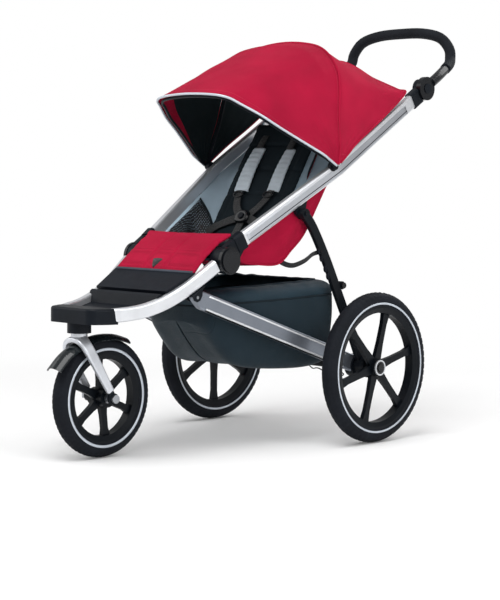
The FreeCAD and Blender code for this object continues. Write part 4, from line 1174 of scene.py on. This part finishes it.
def basket():
    """Open bag between the rails, sagging and creased, with its gathered skirt."""
    rings = basket_rings()
    columns = len(rings[0])
    rows = [[] for _ in range(5 * 8 + 1)]
    for c in range(columns):
        profile = catmull([ring[c] for ring in rings], 8)
        for r, point in enumerate(profile):
            sag = 3.0 * wobble(point, 0.011, 6.0) * math.sin(math.pi * min(1, r / 20))
            crease = 2.6 * wobble(point, 0.02, 2.0)
            spread = 1 + (sag + crease) / 400
            rows[r].append(at(point.x * spread, point.y, point.z))
    rows = [row + [row[0].copy()] for row in rows]
    bag = cloth_sheet("basket_bag", rows, BAG_SHEET, [BASKET_CLOTH], slot="dark_fabric")
    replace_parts(bag, "basket")
    fold_with_chassis(bag)
    basket_skirt(rings[0])


def basket_skirt(rim):
    """Gathered cloth above the rim, drawn in by an elastic top."""
    centre = sum(rim, Vector()) / len(rim)
    rows = []
    steps = 14
    dense = []
    for index, point in enumerate(rim):
        after = rim[(index + 1) % len(rim)]
        dense += [point.lerp(after, share / 4) for share in range(4)]
    for r in range(steps + 1):
        v = r / steps
        row = []
        for c, point in enumerate(dense):
            inward = Vector((centre.x - point.x, (centre.y - point.y) * 0.6, 0)).normalized()
            gather = math.sin(c * 0.83) * 0.7 * v ** 3 + wobble(point * 0.03, 1, 4.0) * 5 * v
            puff = 6 * math.sin(math.pi * v)
            shift = 46 * v ** 1.9 - puff + gather
            lift = 2 + 37 * math.sin(0.5 * math.pi * v) + wobble(point * 0.025, 1, 9.0) * 3 * v
            place = point + inward * shift
            row.append(at(place.x, place.y, place.z + lift))
        rows.append(row + [row[0].copy()])
    skirt = cloth_sheet("basket_skirt", rows, SHEET, [BASKET_TOP], slot="dark_fabric")
    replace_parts(skirt, "basket_cover")
    fold_with_chassis(skirt)
    top = rows[-1][:-1][::3]
    elastic = tube("basket_elastic", top, 3.0, BASKET_CLOTH, closed=True, slot="dark_fabric")
    fold_with_chassis(elastic)
    # painted shade: dark cord along the rim for the shaded slit between the skirt and the bag
    slit = [at(p.x, p.y, p.z + 1) for p in rim[::2]]
    seam = sweep("basket_rim_slit_shade", slit, [(a, b * 1.4) for a, b in circle(2.4)], [SEAT_DARK], closed=True,
                 slot="dark_fabric")
    fold_with_chassis(seam)


# ---------------------------------------------------------------- trim on the frame

RAIL_ENDS = (Vector((150, -531, 406)), Vector((243, -10, 207)))

# strips on a rail's outer face: name, distance down from its centre line, width, thickness, material
RAIL_STRIPS = (
    # painted reflection of the pale floor on the rail's rounded lower edge
    ("lower_edge_reflection", 18.5, 6.5, 2.6, BRIGHT),
    # painted highlight: bright line along the rail's upper edge
    ("thin_line", -15.5, 4.5, 1.4, BRIGHT),
    # painted shadow: dark strip in the gap under the rail
    ("shade", 23.4, 3.2, 3.0, BLACK),
)


def rail_line(share, down, out):
    """Point on the rail's outer face: down from its centre line and out from it."""
    point = RAIL_ENDS[0].lerp(RAIL_ENDS[1], share)
    return Vector((point.x + 9.0 + out, point.y - 0.357 * down, point.z - 0.934 * down))


def rail_trim():
    """Painted light on each rail's outer face: a bright reflection low down, shadow below it, a bright
    highlight above.
    """
    for label, side in SIDES:
        for name, down, width, thick, mat in RAIL_STRIPS:
            line = [rail_line(0.07 + 0.85 * i / 24, down, 0.4) for i in range(25)]
            path = [at(side * p.x, p.y, p.z) for p in line]
            sweep(f"rail_{name}_{label}", path, strap_section(width, thick), [mat], body="chassis",
                  slot="frame_silver", side=Vector((0, 0.36, 0.93)))


def tube_side_shade():
    """Darker grey brushed face laid on the outer side of each upper tube as painted shade, with a dark
    groove along it.
    """
    up = Vector((0, -0.53, 0.85))
    for label, side in SIDES:
        line = [tube_line(-366 + 570 * i / 60, 4) for i in range(61)]
        path = [at(side * (p.x + 9.7), p.y, p.z) for p in line]
        sweep("tube_face_" + label, path, strap_section(25, 1.4), [SIDE_SHADE_GREY], body="upper_frame",
              slot="rail_grey", side=up)
        thin_line = [p + Vector((side * 0.7, 2.2, -3.6)) * MM for p in path]
        sweep("tube_groove_" + label, thin_line, strap_section(2.2, 1.0), [BLACK], body="upper_frame",
              slot="rail_grey", side=up)


RECLINE_STRAP = [
    (150, -232, 506), (160, -214, 486), (176, -190, 478),
    (196, -166, 490), (210, -148, 508), (218, -130, 514),
]


def recline_straps():
    """Loose strap from the back of the seat up to each tube."""
    for label, side in SIDES:
        path = catmull([at(side * x, y, z) for x, y, z in RECLINE_STRAP], 8)
        strap = sweep("recline_strap_" + label, path, strap_section(15, 2), [WEBBING],
                      slot="webbing", side=Vector((side * 0.5, 0, 0.86)))
        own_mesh(strap)
        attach(strap, "upper_frame")


BRAKE_CABLES = (
    ("brake_cable", [(60, 2, 196), (110, -30, 186), (160, -60, 192), (196, -40, 172), (205, -8, 176),
                     (150, 6, 190)]),
    ("brake_cable_far", [(-60, 2, 196), (-110, -24, 188), (-160, -40, 182), (-205, -6, 186)]),
)


def brake_cables():
    """Loops of cable hanging from the brake."""
    for name, points in BRAKE_CABLES:
        tube(name, catmull([at(*p) for p in points], 10), 1.7, GLOSS, body="chassis", slot="gloss_black")


NOSE_CORNER_R = 30.0
NOSE_HALF_WIDTH = 78.0
NOSE_FRONT_Y = -812.0


def nose_trim():
    """Thin bright line along the top edge of the nose."""
    centre_x, centre_y = NOSE_HALF_WIDTH - NOSE_CORNER_R, NOSE_FRONT_Y + NOSE_CORNER_R
    corner = [(centre_x + NOSE_CORNER_R * math.sin(turn), centre_y - NOSE_CORNER_R * math.cos(turn))
              for turn in (math.radians(step) for step in range(0, 91, 15))]
    half = corner + [(99, -768), (104.5, -746)]
    outline = [(-x, y) for x, y in reversed(half)] + half
    path = [at(x * 0.985, y + 1.5, 378.0) for x, y in outline]
    sweep("nose_line", path, circle(1.2, 8), [BRIGHT], body="front_frame", slot="trim_silver")


# centre line of a rear leg, and the heights of the clips on it
LEG_PATH = [(216, -191, 616), (220, -160, 578), (229, -114, 490), (243, -75, 390), (256, -36, 292)]
CLIP_HEIGHTS = (520, 498, 468, 452)


def leg_clips():
    """Small clips on the front edge of each rear leg, one above the other."""
    line = catmull([Vector(p) for p in LEG_PATH], 10)
    for label, side in SIDES:
        for index, height in enumerate(CLIP_HEIGHTS):
            near = min(line, key=lambda p: abs(p.z - height))
            path = [at(side * near.x, near.y - 13 - bulge, near.z + rise)
                    for rise, bulge in ((-9, -1), (-4, 2.5), (4, 2.5), (9, -1))]
            sweep(f"leg_clip_{label}_{index}", catmull(path, 5), [(a * 1.6, b) for a, b in circle(3.4)],
                  [BLACK], body="rear_legs", slot="black_plastic")


# ---------------------------------------------------------------- stage

# the stage and the camera are in metres, in the row frame
FLOOR_REACH = 9
FLOOR_DROP = 0.0005
FLOOR_LIT_RADIUS = 1.1
FLOOR_FADE_RADIUS = 2.3
WORLD_LIGHT = 0.5

# each softbox: name, place, size, power in watts
SOFTBOXES = (
    ("key", (0.6, -1.8, 4.2), 2.4, 110),
    ("side_light", (3.6, -0.6, 2.0), 2.6, 60),
    ("fill", (-3.0, -2.2, 2.2), 3.0, 42),
    ("rim_light", (0.4, 3.2, 3.0), 2.4, 45),
)
LIGHT_TARGET = Vector((0, 0, 0.55))


def stage():
    """Floor, world and four softboxes."""
    corners = [(-FLOOR_REACH, -FLOOR_REACH), (FLOOR_REACH, -FLOOR_REACH),
               (FLOOR_REACH, FLOOR_REACH), (-FLOOR_REACH, FLOOR_REACH)]
    floor = add_mesh("floor", [(x, y, -FLOOR_DROP) for x, y in corners], [(0, 1, 2, 3)],
                     [studio_floor()], flat=True)
    world = bpy.data.worlds.new("studio")
    world.use_nodes = True
    world.node_tree.nodes["Background"].inputs["Color"].default_value = (1, 1, 1, 1)
    world.node_tree.nodes["Background"].inputs["Strength"].default_value = WORLD_LIGHT
    even_backdrop(world.node_tree)
    scene = bpy.context.scene
    scene.world = world
    scene.view_settings.view_transform = "Standard"
    for name, place, size, power in SOFTBOXES:
        softbox(name, place, size, power)


def even_backdrop(tree):
    """The camera sees one pale backdrop, while the softer light level still lights the object."""
    seen = tree.nodes.new("ShaderNodeBackground")
    seen.inputs["Color"].default_value = (1, 1, 1, 1)
    seen.inputs["Strength"].default_value = 1.0
    rays = tree.nodes.new("ShaderNodeLightPath")
    mix = tree.nodes.new("ShaderNodeMixShader")
    tree.links.new(rays.outputs["Is Camera Ray"], mix.inputs[0])
    tree.links.new(tree.nodes["Background"].outputs[0], mix.inputs[1])
    tree.links.new(seen.outputs[0], mix.inputs[2])
    tree.links.new(mix.outputs[0], tree.nodes["World Output"].inputs[0])


def studio_floor():
    """Pale floor that takes shadows near the object and fades into the backdrop all round it."""
    shader = Shader("floor_white", (0.9, 0.9, 0.9, 1), 0.75, gloss=0.1)
    shader.vary_rough(shader.noise(3), 0.05)
    length = shader.node("ShaderNodeVectorMath", operation="LENGTH")
    shader.link(shader.place, length.inputs[0])
    fade = shader.node("ShaderNodeMapRange", interpolation_type="SMOOTHSTEP")
    fade.inputs["From Min"].default_value = FLOOR_LIT_RADIUS
    fade.inputs["From Max"].default_value = FLOOR_FADE_RADIUS
    shader.link(length.outputs["Value"], fade.inputs["Value"])
    glow = shader.node("ShaderNodeEmission")
    glow.inputs["Strength"].default_value = 1.0
    mix = shader.node("ShaderNodeMixShader")
    shader.link(fade.outputs[0], mix.inputs[0])
    shader.link(shader.bsdf.outputs[0], mix.inputs[1])
    shader.link(glow.outputs[0], mix.inputs[2])
    shader.link(mix.outputs[0], shader.tree.nodes["Material Output"].inputs["Surface"])
    return shader.material


def softbox(name, place, size, power):
    """Square area light aimed at the middle of the object, not itself seen by the camera."""
    light = bpy.data.lights.new(name, "AREA")
    light.size = size
    light.energy = power
    obj = bpy.data.objects.new(name, light)
    obj.location = place
    obj.visible_camera = False
    obj.rotation_euler = (LIGHT_TARGET - Vector(place)).to_track_quat("-Z", "Y").to_euler()
    bpy.context.scene.collection.objects.link(obj)


CAMERA_PLACE = (3.127, -3.2234, 0.693)
CAMERA_TARGET = (0.0, 0.0242, 0.3749)
CAMERA_ROLL = math.radians(0.64)
CAMERA_LENS = 98.62


def camera():
    data = bpy.data.cameras.new("camera")
    data.lens = CAMERA_LENS
    obj = bpy.data.objects.new("camera", data)
    obj.location = CAMERA_PLACE
    look = (Vector(CAMERA_TARGET) - Vector(CAMERA_PLACE)).to_track_quat("-Z", "Y").to_matrix()
    roll = Matrix.Rotation(CAMERA_ROLL, 3, Vector((0, 0, 1)))
    obj.rotation_euler = (look @ roll).to_euler()
    bpy.context.scene.collection.objects.link(obj)
    bpy.context.scene.camera = obj


finish_cad_nodes()
wheels()
hood()
back_cushion()
seat_cushion()
leg_cushion()
side_wings()
seat_sides()
harness()
basket()
rail_trim()
tube_side_shade()
recline_straps()
brake_cables()
nose_trim()
leg_clips()
stage()
camera()
